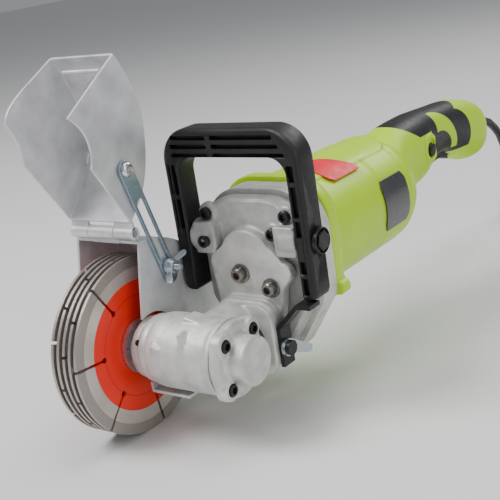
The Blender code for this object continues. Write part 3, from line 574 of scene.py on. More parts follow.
def build_gland():
    bm = bmesh.new()
    profile = [(427, 10), (431.5, 10), (431.7, 6.9), (438.6, 6.9), (438.7, 8.2), (439.4, 8.6),
               (442.4, 8.6), (443, 8.2)]
    for k in range(5):
        y, radius = 443.4 + k * 3.1, 7.6 - 0.5 * k
        profile += [(y, radius - 1.1), (y + 1.1, radius - 1.1), (y + 1.3, radius),
                    (y + 2.7, radius - 0.2)]
    profile += [(458.6, 5.2), (459, 4.6)]
    solid_lathe(bm, profile, "Y", (MOTOR_X, 0, 57), 40)
    finish_piece(fresh("strain_relief", bm), "tool", RUBBER, ["cord_gland"])


# ---------------------------------------------------------------- discs
def disc_ring(radius_low, radius_high, number, slot_half, eye_r=None):
    """Outline of the slotted steel body, or of one rim segment between two slots."""
    pitch = 360 / SLOTS
    first = FIRST_SLOT_DEG + number * pitch * 0.42
    if radius_low is None:
        outline = []
        for k in range(SLOTS):
            middle = first + k * pitch
            outline += points_arc((0, 0), radius_high, middle - pitch + slot_half,
                                  middle - slot_half, 24)
            eye = (SLOT_EYE_AT * math.cos(math.radians(middle)),
                   SLOT_EYE_AT * math.sin(math.radians(middle)))
            outline += points_arc(eye, eye_r, middle - 25, middle - 335, 14)
        return [outline]
    segments = []
    for k in range(SLOTS):
        middle = first + k * pitch
        start, end = middle - pitch + slot_half, middle - slot_half
        segments.append(arcs(((0, 0), radius_high, start, end, 24),
                             ((0, 0), radius_low, end, start, 24)))
    return segments


def build_discs():
    for number in range(DISC_COUNT):
        face = -DISC_PITCH * number
        bm = bmesh.new()
        for outline in disc_ring(None, 60.0, number, 1.05, 2.2):
            prism(bm, outline, "X", face - 2.1, face - 0.3)
        body = fresh("disc_body", bm, None)
        cut_with(body, cylinder_cut("X", (0, 0, 0), 11.1, face - 6, face + 6, 64))
        segments_bm = bmesh.new()
        segments_bm.from_mesh(body.data)
        for outline in disc_ring(58.6, DISC_R, number, 0.95):
            prism(segments_bm, outline, "X", face - 2.4, face)
        bpy.data.objects.remove(body, do_unlink=True)
        disc = fresh(f"diamond_disc_{number + 1}", segments_bm, 30)
        round_edges(disc, 0.22, 2, 40)
        finish_piece(disc, "spindle", DISC, [f"disc_{number + 1}"])


# ---------------------------------------------------------------- sheet metal
def sheet_channel(name, outline, wrap_count, fold, foot=None, far_edge=None):
    """Bent sheet: two side plates joined along the outline's first points by a wrap, with soft folds."""
    bm = bmesh.new()
    near = [bm.verts.new(at(GUARD_X[1], y, z)) for y, z in outline]
    far_outline = outline if far_edge is None else [*outline[:wrap_count], *far_edge]
    far = [bm.verts.new(at(GUARD_X[0], y, z)) for y, z in far_outline]
    near_face = bm.faces.new(near)
    far_face = bm.faces.new(far[::-1])
    folds = []
    for i in range(wrap_count - 1):
        face = bm.faces.new((near[i + 1], near[i], far[i], far[i + 1]))
        folds += [e for e in face.edges if near_face in e.link_faces or far_face in e.link_faces]
    if foot:
        end_x, first, second = foot
        corners = [bm.verts.new(at(end_x, *outline[k])) for k in (first, second)]
        face = bm.faces.new((near[first], near[second], corners[1], corners[0]))
        folds += [e for e in face.edges if near_face in e.link_faces]
    bmesh.ops.recalc_face_normals(bm, faces=bm.faces)
    if near_face.normal.x < 0:
        bmesh.ops.reverse_faces(bm, faces=bm.faces)
    bmesh.ops.bevel(bm, geom=folds, offset=fold * MM, offset_type="OFFSET", segments=4, profile=0.5,
                    affect="EDGES", clamp_overlap=True)
    mesh = bpy.data.meshes.new(name)
    bm.to_mesh(mesh)
    bm.free()
    obj = add_object(name, mesh)
    sheet = obj.modifiers.new("sheet", "SOLIDIFY")
    sheet.thickness = 2.0 * MM
    sheet.offset = -1.0
    sheet.use_even_offset = True
    bake(obj)
    return obj


def add_solid(obj, bm):
    """Adds closed solids to an object's own mesh."""
    bmesh.ops.recalc_face_normals(bm, faces=bm.faces)
    mesh = bpy.data.meshes.new("extra")
    bm.to_mesh(mesh)
    bm.free()
    joined = bmesh.new()
    joined.from_mesh(obj.data)
    joined.from_mesh(mesh)
    joined.to_mesh(obj.data)
    joined.free()


def cut_with(obj, *cutters):
    for number, cutter_bm in enumerate(cutters):
        cutter = fresh(f"{obj.name}_tool_{number}", cutter_bm, None)
        boolean = obj.modifiers.new("cut", "BOOLEAN")
        boolean.object = cutter
        bake(obj)
        bpy.data.objects.remove(cutter, do_unlink=True)


def hole_cutter(centre_yz, radius, low, high):
    return cylinder_cut("X", (0, *centre_yz), radius, low, high, 32)


def hinge_barrels(bm, spans):
    for start, end in spans:
        ring_lathe(bm, [(start, 4.4), (start + 0.4, 4.9), (end - 0.4, 4.9), (end, 4.4)],
                   [(start, 2.5), (end, 2.5)], "X", (0, 0, HINGE_Z), 32)


def build_guard():
    outline = points_arc((0, 0), GUARD_R, 88.5, -21.8, 45)
    outline += [(24, -29.5), (-11, -29.5)]
    outline += points_arc((0, 0), 26, 245, 470, 40)
    outline += [(-2, 60)]
    guard = sheet_channel("guard_sheet", outline, 45, 2.6, (48, 45, 46))
    cut_with(guard, hole_cutter(STUD, 2.8, 8, 20))
    bm = bmesh.new()
    hinge_barrels(bm, [(-27.8, -3.2)])
    prism(bm, [(0.6, 77.7), (2.2, 77.7), (3.6, 83.6), (1.4, 83.6)], "X", -27.8, -3.2)
    add_solid(guard, bm)
    soften(guard, 40)
    round_edges(guard, 0.5, 2, 50)
    finish_piece(guard, "tool", LACQUER, ["guard"])


COVER_WRAP = ((-1.0, 93.7), (12.5, 107.0), (18.0, 114.2), (23.8, 126.5), (27.7, 140.3),
              (30.3, 158.6), (29.4, 170.5), (26.5, 182.8), (18.2, 201.4), (12.2, 210.8))
COVER_FAR_EDGE = ((12.2, 210.8), (-6.9, 201.2), (-21.5, 193.9), (-32.5, 187.2), (-39.5, 180.5),
                  (-42.0, 175.0), (-36.2, 163.9), (-33.6, 153.0), (-33.0, 143.1))
COVER_BARRELS = ((-45, -28.2), (-2.8, 15))


def smooth_line(points, per_span):
    """Points on a Catmull-Rom curve through the given ones."""
    first, last = np.array(points[0]), np.array(points[-1])
    rows = np.array([2 * first - points[1], *points, 2 * last - points[-2]])
    line = []
    for i in range(1, len(rows) - 2):
        p0, p1, p2, p3 = rows[i - 1:i + 3]
        for u in np.arange(per_span) / per_span:
            line.append(0.5 * (2 * p1 + (p2 - p0) * u + (2 * p0 - 5 * p1 + 4 * p2 - p3) * u ** 2
                               + (3 * p1 - p0 - 3 * p2 + p3) * u ** 3))
    return [tuple(p) for p in line] + [tuple(points[-1])]


def build_cover():
    wrap = smooth_line(COVER_WRAP, 4)
    notch = [turn_point(p, (0, HINGE_Z), -COVER_OPEN_DEG)
             for p in points_arc((0, 0), 28.5, 190, 116, 24)]
    far_edge = smooth_line(COVER_FAR_EDGE[:6], 5)[1:] + smooth_line(COVER_FAR_EDGE[5:], 5)[1:]
    cover = sheet_channel("cover_sheet", [*wrap, (-41.0, 178.0), *notch], len(wrap), 2.6,
                          far_edge=far_edge)
    cut_with(cover, hole_cutter(ARM_PIVOT, 3.3, 8, 22))
    bm = bmesh.new()
    hinge_barrels(bm, COVER_BARRELS)
    for low, high in COVER_BARRELS:
        prism(bm, [(-2.6, 88), (1.4, 88), (0.2, 95.4), (-1.4, 94.4)], "X", low, high)
    add_solid(cover, bm)
    extra = bmesh.new()
    for a, b, radius in (((-29.6, 5.0, 200.6), (5.8, 5.2, 200.4), 1.5),
                         ((-38.1, 19.0, 131.5), (-36.6, 20.8, 139.4), 1.3)):
        pipe(extra, [a, b], radius)
    pipe(extra, [(-19.3, 13.6, 187.5), (-14.8, 11.3, 190.8), (-10.0, 9.6, 193.4),
                 (-4.8, 8.8, 195.4)], 1.0)
    add_solid(cover, extra)
    soften(cover, 40)
    round_edges(cover, 0.5, 2, 50)
    finish_piece(cover, "cover", LACQUER, ["flip_cover"])


def pipe(bm, points, radius, segments=12):
    """A round rod through points given in the tool's frame."""
    points = [at(*p) for p in points]
    loops = []
    for i, point in enumerate(points):
        along = (points[min(i + 1, len(points) - 1)] - points[max(i - 1, 0)]).normalized()
        side = along.cross(Vector((0.31, 0.43, 0.85))).normalized()
        other = along.cross(side)
        loops.append([bm.verts.new(point + (side * math.cos(a) + other * math.sin(a)) * radius * MM)
                      for a in np.linspace(0, 2 * math.pi, segments, endpoint=False)])
    sides(bm, loops)
    ends(bm, loops)


def build_arm():
    angle = math.degrees(math.atan2(STUD[1] - ARM_PIVOT[1], STUD[0] - ARM_PIVOT[0]))

    def aim(points):
        return [turn_point((ARM_PIVOT[0] + a, ARM_PIVOT[1] + b), ARM_PIVOT, angle) for a, b in points]

    bm = bmesh.new()
    prism(bm, aim(arcs(((0, 0), 6.5, 90, 270, 24), ((90, 0), 6.5, -90, 90, 24))), "X", *ARM_X)
    arm = fresh("slotted_arm", bm, None)
    slot = bmesh.new()
    prism(slot, aim(arcs(((28, 0), 3.9, 90, 270, 20), ((88.5, 0), 3.9, -90, 90, 20))), "X",
          ARM_X[0] - 2, ARM_X[1] + 2)
    cut_with(arm, slot, hole_cutter(ARM_PIVOT, 3.3, 13, 21))
    soften(arm, 35)
    round_edges(arm, 0.35, 2, 40)
    finish_piece(arm, "arm", ARM_ZINC, ["link_arm"])

    bm = bmesh.new()
    low = ARM_X[1] + 0.3
    solid_lathe(bm, [(11, 5), (12.7, 5), (12.75, 3), (low, 3), (low + 0.05, 5.3), (low + 1.2, 5.3),
                     (low + 2.0, 4.8), (low + 2.7, 3.6), (low + 3.0, 1.8)], "X", (0, *ARM_PIVOT), 32)
    screw = fresh("arm_pan_screw", bm, None)
    cuts = []
    for turn in (20, 110):
        cross = bmesh.new()
        corners = [turn_point((ARM_PIVOT[0] + a, ARM_PIVOT[1] + b), ARM_PIVOT, turn)
                   for a, b in ((-3.2, -0.55), (3.2, -0.55), (3.2, 0.55), (-3.2, 0.55))]
        prism(cross, corners, "X", low + 1.3, low + 5)
        cuts.append(cross)
    cut_with(screw, *cuts)
    screw.data.set_sharp_from_angle(angle=math.radians(35))
    finish_piece(screw, "cover", BRIGHT, ["arm_screw"])


def build_wing_nut():
    low = ARM_X[1] + 0.3
    bm = bmesh.new()
    ring_lathe(bm, [(low, 6.2), (low + 2, 6.2), (low + 6.5, 4.8)], [(low, 2.8), (low + 6.5, 2.8)], "X",
               (0, *STUD), 48)
    blade = [(low + 0.5, 3.6), (low + 4.5, 3.6), (low + 7.4, 7.6), (low + 10, 11), (low + 10.1, 12.8),
             (low + 9.2, 14.3), (low + 7.2, 14.6), (low + 5.2, 13.6), (low + 2.4, 8.6)]
    for tilt in (38, 218):
        vertices = []
        for side in (-0.95, 0.95):
            ring = []
            for along, out in blade:
                y, z = turn_point((STUD[0] + out, STUD[1] + side), STUD, tilt)
                ring.append(bm.verts.new(at(along, y, z)))
            vertices.append(ring)
        ends(bm, vertices)
        sides(bm, vertices)
    nut = cast("wing_nut_cast", bm, 0.35, 3)
    finish_piece(nut, "wing_nut", ZINC, ["wing_nut"])

    bm = bmesh.new()
    profile = [(10.4, 4.6), (12.7, 4.6), (12.75, 2.5)]
    for k in range(12):
        x = 17.0 + k
        profile += [(x, 2.5), (x + 0.5, 2.25)]
    profile += [(29.4, 2.4), (30, 1.9)]
    solid_lathe(bm, profile, "X", (0, *STUD), 32)
    finish_piece(fresh("stud_thread", bm), "tool", ZINC, ["guard_stud"])


# ---------------------------------------------------------------- castings
def tube_x(bm, profile, centre=(0, 0), segments=96):
    solid_lathe(bm, profile, "X", (0, *centre), segments)


def neck_outline(right_x):
    return rounded(49.0, right_x, -26.0, 27.0, 12.5, 12)


def cylinder_cut(axis, centre, radius, low, high, segments=48):
    bm = bmesh.new()
    solid_lathe(bm, [(low, radius), (high, radius)], axis, centre, segments)
    return bm


def turned_bar(start, end, radius):
    """Outline of a straight bar with round ends."""
    angle = math.degrees(math.atan2(end[1] - start[1], end[0] - start[0]))
    return arcs((start, radius, angle + 90, angle + 270, 14), (end, radius, angle - 90, angle + 90, 14))


def build_spindle_housing():
    bm = bmesh.new()
    tube_x(bm, [(10, 21), (10.6, 22.6), (11.4, 23), (15.8, 23), (16.4, 22.4), (16.5, 21.2),
                (18.6, 21.2), (18.7, 24.6), (19.4, 25.2), (23.4, 25.2), (24.2, 24.6), (25.4, 24.8),
                (27, 26.2), (30, 27), (34, 27.3), (79.2, 27.3), (79.8, 28.3), (84, 28.3)])
    tube_x(bm, [(79.5, 27.6), (80.4, 28.4), (82.8, 28.4), (83.6, 27.8)])
    prism(bm, neck_outline(99.0), "Y", 29, 46)
    prism(bm, neck_outline(83.7), "Y", 2, 30)
    for y in (34.0, 39.5):
        grown = [(MOTOR_X + (x - MOTOR_X) * 1.035, z * 1.05) for x, z in neck_outline(98.0)]
        prism(bm, grown, "Y", y, y + 2.6)
    flange = [(46, 4), (44, 30), (41.5, 52), (43.5, 58), (52, 63)]
    flange += points_arc((MOTOR_X, MOTOR_Z), 22, 150, 30, 24)
    flange += [(97, 63), (103, 57), (104.5, 40), (99, 14)]
    flange += points_arc((MOTOR_X, 0), 25, -20, -160, 24)
    prism(bm, flange, "Y", 43.4, 51.7)
    for x, z in FLANGE_SCREWS:
        solid_lathe(bm, [(42.9, 8.6), (46, 9.2)], "Y", (x, 0, z), 40)
    prism(bm, turned_bar((94, 36), (104, 47), 7.6), "Y", 42.6, 50)
    prism(bm, turned_bar((69, 45), (88, 62), 6.4), "Y", 43.2, 50)
    prism(bm, [(58, 24.5), (61, 24.5), (61, 12), (58, 12)], "Y", -24.6, -16)
    prism(bm, [(34, 6), (41, 11), (34, 15)], "Y", -26.6, -18)
    prism(bm, [(52, 25.6), (66, 22.6), (66, 27), (52, 29.6)], "Y", -8, 6)
    cutters = [cylinder_cut("X", (0, 0, 0), 16.2, 8, 20.1), cylinder_cut("X", (0, 0, 0), 23.8, 20, 90),
               cylinder_cut("Y", (MOTOR_X, 0, 0), PINION_BORE_R, 15, 54),
               cylinder_cut("X", (0, 38, -6), SCREW_HOLE_R, 90, 104, 24)]
    cutters += [cylinder_cut("Y", (x, 0, z), SCREW_HOLE_R, 38, 54, 24) for x, z in FLANGE_SCREWS]
    housing = cast("housing_cast", bm, 0.95, 3, cutters)
    finish_piece(housing, "tool", CAST, ["spindle_housing"])

    bm = bmesh.new()
    c, s = math.cos(math.radians(150)), math.sin(math.radians(150))
    y, z = 21.2 * c, 21.2 * s
    pipe(bm, [(17.4, y, z), (17.4, y + c * 3.2, z + s * 3.2)], 2.1, 20)
    finish_piece(fresh("clamp_screw", bm), "tool", OXIDE)


def socket_screw(bm, axis, centre, start, direction, radius, height):
    """Cap screw head with a soft rim and a round socket, drawn as one turned shell."""
    def step(value):
        return start + direction * value
    profile = [(step(-1.0), radius * 0.6), (step(0), radius), (step(height * 0.8), radius),
               (step(height), radius * 0.86), (step(height), radius * 0.56),
               (step(height * 0.45), radius * 0.5)]
    solid_lathe(bm, profile, axis, centre, 36)


def build_flange_screws():
    for number, (x, z) in enumerate(FLANGE_SCREWS):
        bm = bmesh.new()
        solid_lathe(bm, [(57, 2.9), (43, 3.0), (42.7, 7.2), (41.6, 7.2), (41.4, 6.6), (41.3, 5.2),
                         (37.0, 5.2), (36.2, 4.5), (36.2, 2.8), (39.4, 2.6)], "Y", (x, 0, z), 48)
        screw = fresh(f"cap_screw_{number + 1}", bm, 30)
        finish_piece(screw, "tool", SCREW, [f"flange_screw_{number + 1}"])


def build_end_cap():
    lobes = []
    for k in range(4):
        lobes += points_arc((0, 0), 27.3, 90 * k - 21, 90 * k + 21, 14)
        turn = math.radians(90 * k + 45)
        centre = (math.copysign(16, math.cos(turn)), math.copysign(16, math.sin(turn)))
        lobes += points_arc(centre, 8.5, 90 * k + 15, 90 * k + 75, 10)
    bm = bmesh.new()
    prism(bm, lobes, "X", 84.3, 89.7)
    tube_x(bm, [(86, 21), (90.5, 20), (92.6, 18.6), (93.4, 17.5), (103.6, 17.4), (104.5, 16.6)])
    tube_x(bm, [(88, 27.0), (90.4, 26.4), (91.0, 25.4)])
    for y, z in CAP_SCREWS:
        solid_lathe(bm, [(85, 8.4), (92.2, 8.2), (93, 7.6)], "X", (0, y, z), 40)
    cutters = [cylinder_cut("X", (0, 0, 0), 13, 80, 98.5)]
    cutters += [cylinder_cut("X", (0, y, z), 4.9, 90.6, 99, 36) for y, z in CAP_SCREWS]
    cap = cast("cap_cast", bm, 0.7, 3, cutters)
    finish_piece(cap, "tool", CAST, ["spindle_end_cap"])
    bm = bmesh.new()
    for y, z in CAP_SCREWS:
        socket_screw(bm, "X", (0, y, z), 90.8, 1, 4.4, 3.6)
    finish_piece(fresh("cap_screws", bm, 30), "tool", OXIDE)


def case_outline(inset=0.0):
    steps = 20
    return arcs(((MOTOR_X + 15, MOTOR_Z + 14), 32 - inset, 90, 0, steps),
                ((MOTOR_X + 27, 26), 20 - inset, 0, -36, 8),
                ((MOTOR_X, 0), 28 - inset, -36, -144, steps),
                ((MOTOR_X - 27, 26), 20 - inset, -144, -180, 8),
                ((MOTOR_X - 15, MOTOR_Z + 14), 32 - inset, 180, 90, steps))


# x, z and seat of the gear cover's screws; the last sits on the left side boss, not on its own
COVER_SCREWS = ((40, 86.5, 50.6), (108.7, 86.5, 50.6), (96, 73, 50.6), (41, 68, 42.4))


def build_gear_case():
    bm = bmesh.new()
    prism(bm, case_outline(3.5), "Y", 66, 54.2)
    prism(bm, case_outline(5.0), "Y", 56, 52.0)
    tube_y(bm, [(54, 24.5), (51.4, 23.2), (49.6, 22)], (MOTOR_X, MOTOR_Z))
    tube_y(bm, [(56, 20.5), (48.8, 19.6), (48.2, 18.6)], (MOTOR_X, MOTOR_Z))
    for start, end in ((28.5, 42.5), (105.5, 119.5)):
        solid_lathe(bm, [(start, 12), (end, 12)], "X", (0, *BOLT_YZ), 64)
    prism(bm, [(31, 58), (47, 58), (50, 64), (50, 79), (46, 82), (31, 81.5)], "Y", 42.6, 60)
    prism(bm, [(101, 59), (118, 59), (118, 81), (101, 81)], "Y", 42.6, 60)
    for x, z, _ in COVER_SCREWS[:3]:
        solid_lathe(bm, [(56, 8.2), (51.2, 7.6), (50.2, 6.8)], "Y", (x, 0, z), 40)
    for x, z in FLANGE_SCREWS:
        solid_lathe(bm, [(52.3, 6.5), (58.5, 6.5)], "Y", (x, 0, z), 40)
    cavity = bmesh.new()
    prism(cavity, case_outline(6.5), "Y", 56.5, 78)
    cutters = [cavity, cylinder_cut("Y", (MOTOR_X, 0, 0), PINION_BORE_R, 40, 70),
               cylinder_cut("Y", (MOTOR_X, 0, 36), 18, 40, 51.8)]
    for x, z in FLANGE_SCREWS:
        cutters.append(cylinder_cut("Y", (x, 0, z), 6.0, 47.0, 51.9, 32))
        cutters.append(cylinder_cut("Y", (x, 0, z), SCREW_HOLE_R, 51, 58, 24))
    for start, end in ((MOTOR_X - 50, 34.0), (114.0, MOTOR_X + 50)):
        cutters.append(cylinder_cut("X", (0, *BOLT_YZ), BOLT_HOLE_R, start, end, 24))
    front = cast("gear_cover_cast", bm, 1.0, 4, cutters)
    finish_piece(front, "tool", CAST_GREY, ["gearcase_front"])
    bm = bmesh.new()
    for x, z, seat in COVER_SCREWS:
        socket_screw(bm, "Y", (x, 0, z), seat, -1, 4.6, 3.6)
    finish_piece(fresh("cover_screws", bm, 30), "tool", OXIDE)

    bm = bmesh.new()
    prism(bm, case_outline(), "Y", 66.3, 85)
    back = fresh("gear_case", bm, None)
    cavity = bmesh.new()
    prism(cavity, case_outline(5), "Y", 60, 80)
    cut_with(back, cavity, *[cylinder_cut("Y", (MOTOR_X, 0, z), radius, 78, 88)
                             for z, radius in ((0.0, 7.8), (32.0, 5.3), (MOTOR_Z, 13.0))])
    soften(back, 35)
    round_edges(back, 1.0, 3, 50)
    finish_piece(back, "tool", CAST, ["gearcase_rear"])


def tube_y(bm, profile, centre, segments=96):
    solid_lathe(bm, profile, "Y", (centre[0], 0, centre[1]), segments)


# ---------------------------------------------------------------- motor housing
def build_motor_housing():
    half = 47
    flange = arcs(((MOTOR_X + half - 32, MOTOR_Z + half - 29), 32, 90, 0, 20),
                  ((MOTOR_X + half - 20, MOTOR_Z - half + 20), 20, 0, -90, 16),
                  ((MOTOR_X - half + 20, MOTOR_Z - half + 20), 20, -90, -180, 16),
                  ((MOTOR_X - half + 32, MOTOR_Z + half - 29), 32, 180, 90, 20))
    bm = bmesh.new()
    prism(bm, flange, "Y", 85.3, 94.6)
    shrunk = [(MOTOR_X + (x - MOTOR_X) * 0.985, MOTOR_Z + (z - MOTOR_Z) * 0.985) for x, z in flange]
    prism(bm, shrunk, "Y", 94, 98)
    tube_y(bm, [(90, 46), (171, 46), (172.2, 45.2), (173.6, 45.2), (174.8, 46), (209, 46), (210.2, 44.9),
                (212.2, 44.9), (213.4, 45.6), (218, 45.4), (224, 43.6), (231, 40.6), (235.5, 36.4),
                (238, 32)], (MOTOR_X, MOTOR_Z), 128)
    for side in (-1, 1):
        prism(bm, points_arc((MOTOR_X + side * 46.0, MOTOR_Z - 34), 5.5, 0, 360 - 24, 15), "Y", 86, 97)
    top_pad(bm, 74, 24, 100, 182, 14, 47.4)
    top_pad(bm, 80, 20, 150, 203, 19, 46.8)
    hollow = bmesh.new()
    solid_lathe(hollow, [(80, 42.5), (218, 42.5), (230, 36.5), (230.1, 13), (243, 13)], "Y",
                (MOTOR_X, 0, MOTOR_Z), 96)
    slit = bmesh.new()
    pipe(slit, [(94.9, 220.5, 96.6), (97.7, 221.5, 94.6), (101.9, 223, 90.7), (106.5, 223, 85.3)],
         1.9)
    shell = cast("motor_shell", bm, 1.05, 3, [hollow, slit])
    finish_piece(shell, "tool", GREEN, ["motor_housing"])

    panel_piece("label_plate", ["label_panel"], (168, 168), (206, 206), -23, 28, LABEL)
    panel_piece("red_lozenge", ["colour_panel"], (121, 112), (163, 139), 48.6, 86, RED,
                47.2)


def top_pad(bm, middle, half_w, y_low, y_high, round_length, radius):
    """Raised pad on the barrel's top with a rounded rear end."""
    columns = 28
    rings = [[], []]
    for level, size in enumerate((radius - 4, radius)):
        for c in range(columns + 1):
            u = 2 * c / columns - 1
            x = middle + half_w * u
            z = MOTOR_Z + math.sqrt(size ** 2 - (x - MOTOR_X) ** 2)
            back = y_high + round_length * math.sqrt(max(0.0, 1 - u * u))
            rings[level].append((bm.verts.new(at(x, y_low, z)),
                                 bm.verts.new(at(x, back, z))))
    for c in range(columns):
        (a0, a1), (b0, b1) = rings[1][c], rings[1][c + 1]
        (p0, p1), (q0, q1) = rings[0][c], rings[0][c + 1]
        for face in ((a0, b0, b1, a1), (p0, p1, q1, q0), (a0, p0, q0, b0), (a1, b1, q1, p1)):
            bm.faces.new(face)
    for c in (0, columns):
        bm.faces.new((rings[0][c][0], rings[0][c][1], rings[1][c][1], rings[1][c][0]))


def panel_piece(name, nodes, lows, highs, start, end, material, rise=46.2):
    """A thin curved plate with cut corners lying on the barrel, its ends slanted."""
    rows, columns = 14, 22
    bm = bmesh.new()
    grids = []
    for radius in (rise, rise + 1.1):
        grid = []
        for r in range(rows + 1):
            u = r / rows
            angle = math.radians(start + (end - start) * u)
            edge = 3.0 * max(0.0, abs(2 * u - 1) - 0.72) / 0.28
            low = lows[0] + (lows[1] - lows[0]) * u
            high = highs[0] + (highs[1] - highs[0]) * u
            line = []
            for c in range(columns + 1):
                v = c / columns
                y = low + edge + (high - low - 2 * edge) * v
                line.append(bm.verts.new(at(MOTOR_X + radius * math.cos(angle), y,
                                            MOTOR_Z + radius * math.sin(angle))))
            grid.append(line)
        grids.append(grid)
    for level, grid in enumerate(grids):
        for r in range(rows):
            for c in range(columns):
                quad = (grid[r][c], grid[r][c + 1], grid[r + 1][c + 1], grid[r + 1][c])
                bm.faces.new(quad if level else quad[::-1])
    border = ([(0, c) for c in range(columns)] + [(r, columns) for r in range(rows)]
              + [(rows, c) for c in range(columns, 0, -1)] + [(r, 0) for r in range(rows, 0, -1)])
    for k, (r, c) in enumerate(border):
        r2, c2 = border[(k + 1) % len(border)]
        bm.faces.new((grids[0][r][c], grids[0][r2][c2], grids[1][r2][c2], grids[1][r][c]))
    plate = fresh(name, bm, 35)
    round_edges(plate, 0.35, 2, 50)
    finish_piece(plate, "tool", material, nodes)


# ---------------------------------------------------------------- front handle
def build_front_handle():
    x0, x1 = MOTOR_X - HANDLE_HALF_W, MOTOR_X + HANDLE_HALF_W
    post, top, foot, inner_top = 12.0, 151.0, 29.0, 130.0
    outline = [(x0, foot + 5), (x0 + 1.5, foot + 1.5), (x0 + 5, foot), (x0 + post, foot)]
    outline += points_arc((x0 + post + 13, inner_top - 13), 13, 180, 90, 16)
    outline += points_arc((x1 - post - 13, inner_top - 13), 13, 90, 0, 16)
    outline += [(x1 - post, foot), (x1 - 5, foot), (x1 - 1.5, foot + 1.5), (x1, foot + 5)]
    outline += points_arc((x1 - 24, top - 24), 24, 0, 90, 24)
    outline += points_arc((x0 + 24, top - 24), 24, 90, 180, 24)
    bm = bmesh.new()
    prism(bm, outline, "Y", *HANDLE_Y)
    handle = fresh("front_grip", bm, None)
    round_edges(handle, 3.2, 5, 50)
    bake(handle)
    cutters = []
    for row in range(3):
        z = top - 5 - row * 6.2
        for low, high in ((x0 + 9, MOTOR_X - 16), (MOTOR_X - 12, x1 - 18 + 4 * row)):
            cutters.append(slot_cutter(low, high, z - 3.2, z, 45.0))
    for low_z, high_z in ((77, 99.5), (102.5, 125)):
        cutters.append(slot_cutter(x0 + 3.0, x0 + 5.4, low_z, high_z, 44.5))
        cutters.append(slot_cutter(x0 + 7.0, x0 + post - 1.8, low_z, high_z, 44.5))
    for low_z, high_z in ((33, 46), (48.5, 58), (75, 86.5), (89, 110.5), (113.5, 125)):
        cutters.append(slot_cutter(x1 - post + 1.8, x1 - 4.6, low_z, high_z, 44.5))
    for start in (x0 - 2, x1 - post - 1):
        cutters.append(cylinder_cut("X", (0, *BOLT_YZ), BOLT_HOLE_R, start, start + post + 3, 32))
    relief = bmesh.new()
    prism(relief, [(x0 - 3, 36), (18.2, 36), (18.2, 62.7), (x0 - 3, 62.7)], "Y", 30, 70)
    cutters.append(relief)
    cutters.append(cylinder_cut("X", (0, *BOLT_YZ), 8.2, x1 - 1.6, x1 + 4, 40))
    cut_with(handle, *cutters)
    soften(handle, 38)
    finish_piece(handle, "tool", BLACK, ["front_handle"])

    for name, head, out, start, flange_r, crown_r, hex_r in (
            ("left", x0 - 0.3, -1, x0 - 0.6, 7.0, 6.6, 6.6),
            ("right", x1 + 0.3, 1, x1 - 27, 9.0, 7.0, 7.4)):
        bm = bmesh.new()
        solid_lathe(bm, [(start, 3.9), (start + 27.6, 3.9)], "X", (0, *BOLT_YZ), 32)
        solid_lathe(bm, [(head, flange_r - 0.4), (head + out * 0.7, flange_r),
                         (head + out * 1.3, flange_r - 0.3), (head + out * 2.0, crown_r)],
                    "X", (0, *BOLT_YZ), 48)
        hexa = hexagon(BOLT_YZ, hex_r, 12)
        prism(bm, hexa, "X", head + out * 1.0, head + out * 3.9)
        prism(bm, hexa, "X", head + out * 3.9, head + out * 4.5, 0.9)
        if name == "right":
            ring_lathe(bm, [(head, 9.6), (head + 3.0, 9.4), (head + 3.4, 9.0)],
                       [(head, 8.2), (head + 3.4, 8.4)], "X", (0, *BOLT_YZ), 64)
        bolt = fresh(f"{name}_bolt", bm, 30)
        round_edges(bolt, 0.25, 2, 40)
        finish_piece(bolt, "tool", OXIDE, [f"handle_bolt_{name}"])


def slot_cutter(x_low, x_high, z_low, z_high, depth):
    radius = min(1.4, (z_high - z_low) / 2 - 0.05, (x_high - x_low) / 2 - 0.05)
    bm = bmesh.new()
    prism(bm, rounded(x_low, x_high, z_low, z_high, radius, 5), "Y", 34.0, depth)
    return bm


# ---------------------------------------------------------------- rear handle
GRIP_SECTIONS = np.array((
    (238.3, 57.0, 31.0, 35.0), (250.0, 63.0, 27.0, 34.0), (268.0, 68.0, 23.5, 32.0),
    (300.0, 71.0, 22.0, 30.0), (314.0, 74.0, 20.0, 26.5), (345.0, 76.0, 18.5, 22.5),
    (370.0, 70.5, 19.0, 26.5), (395.0, 64.0, 20.0, 29.5), (420.0, 59.5, 19.5, 27.0),
    (433.0, 57.5, 16.5, 22.0), (438.0, 57.0, 11.0, 15.0)))


def grip_section(y):
    """Middle's height, half width and half height of the grip at a place along it."""
    stations = GRIP_SECTIONS
    i = int(np.clip(np.searchsorted(stations[:, 0], y) - 1, 0, len(stations) - 2))
    p1, p2 = stations[i], stations[i + 1]
    p0 = stations[i - 1] if i else 2 * p1 - p2
    p3 = stations[i + 2] if i + 2 < len(stations) else 2 * p2 - p1
    span = p2[0] - p1[0]
    u = (y - p1[0]) / span
    m1 = (p2 - p0) / (p2[0] - p0[0]) * span
    m2 = (p3 - p1) / (p3[0] - p1[0]) * span
    if i + 3 >= len(stations):
        m2 = p2 - p1
    return ((2 * u ** 3 - 3 * u ** 2 + 1) * p1 + (u ** 3 - 2 * u ** 2 + u) * m1
            + (-2 * u ** 3 + 3 * u ** 2) * p2 + (u ** 3 - u ** 2) * m2)[1:]


def grip_loft(bm, y_low, y_high, inset, rings, count=72):
    loops = []
    for y in np.linspace(y_low, y_high, rings):
        centre_z, half_w, half_h = grip_section(y)
        loop = []
        for k in range(count):
            angle = 2 * math.pi * (k + 0.5) / count
            c, s = math.cos(angle), math.sin(angle)
            x = MOTOR_X + (half_w - inset) * math.copysign(abs(c) ** 0.85, c)
            z = centre_z + (half_h - inset) * math.copysign(abs(s) ** 0.85, s)
            loop.append(bm.verts.new(at(x, y, z)))
        loops.append(loop)
    sides(bm, loops)
    ends(bm, loops)


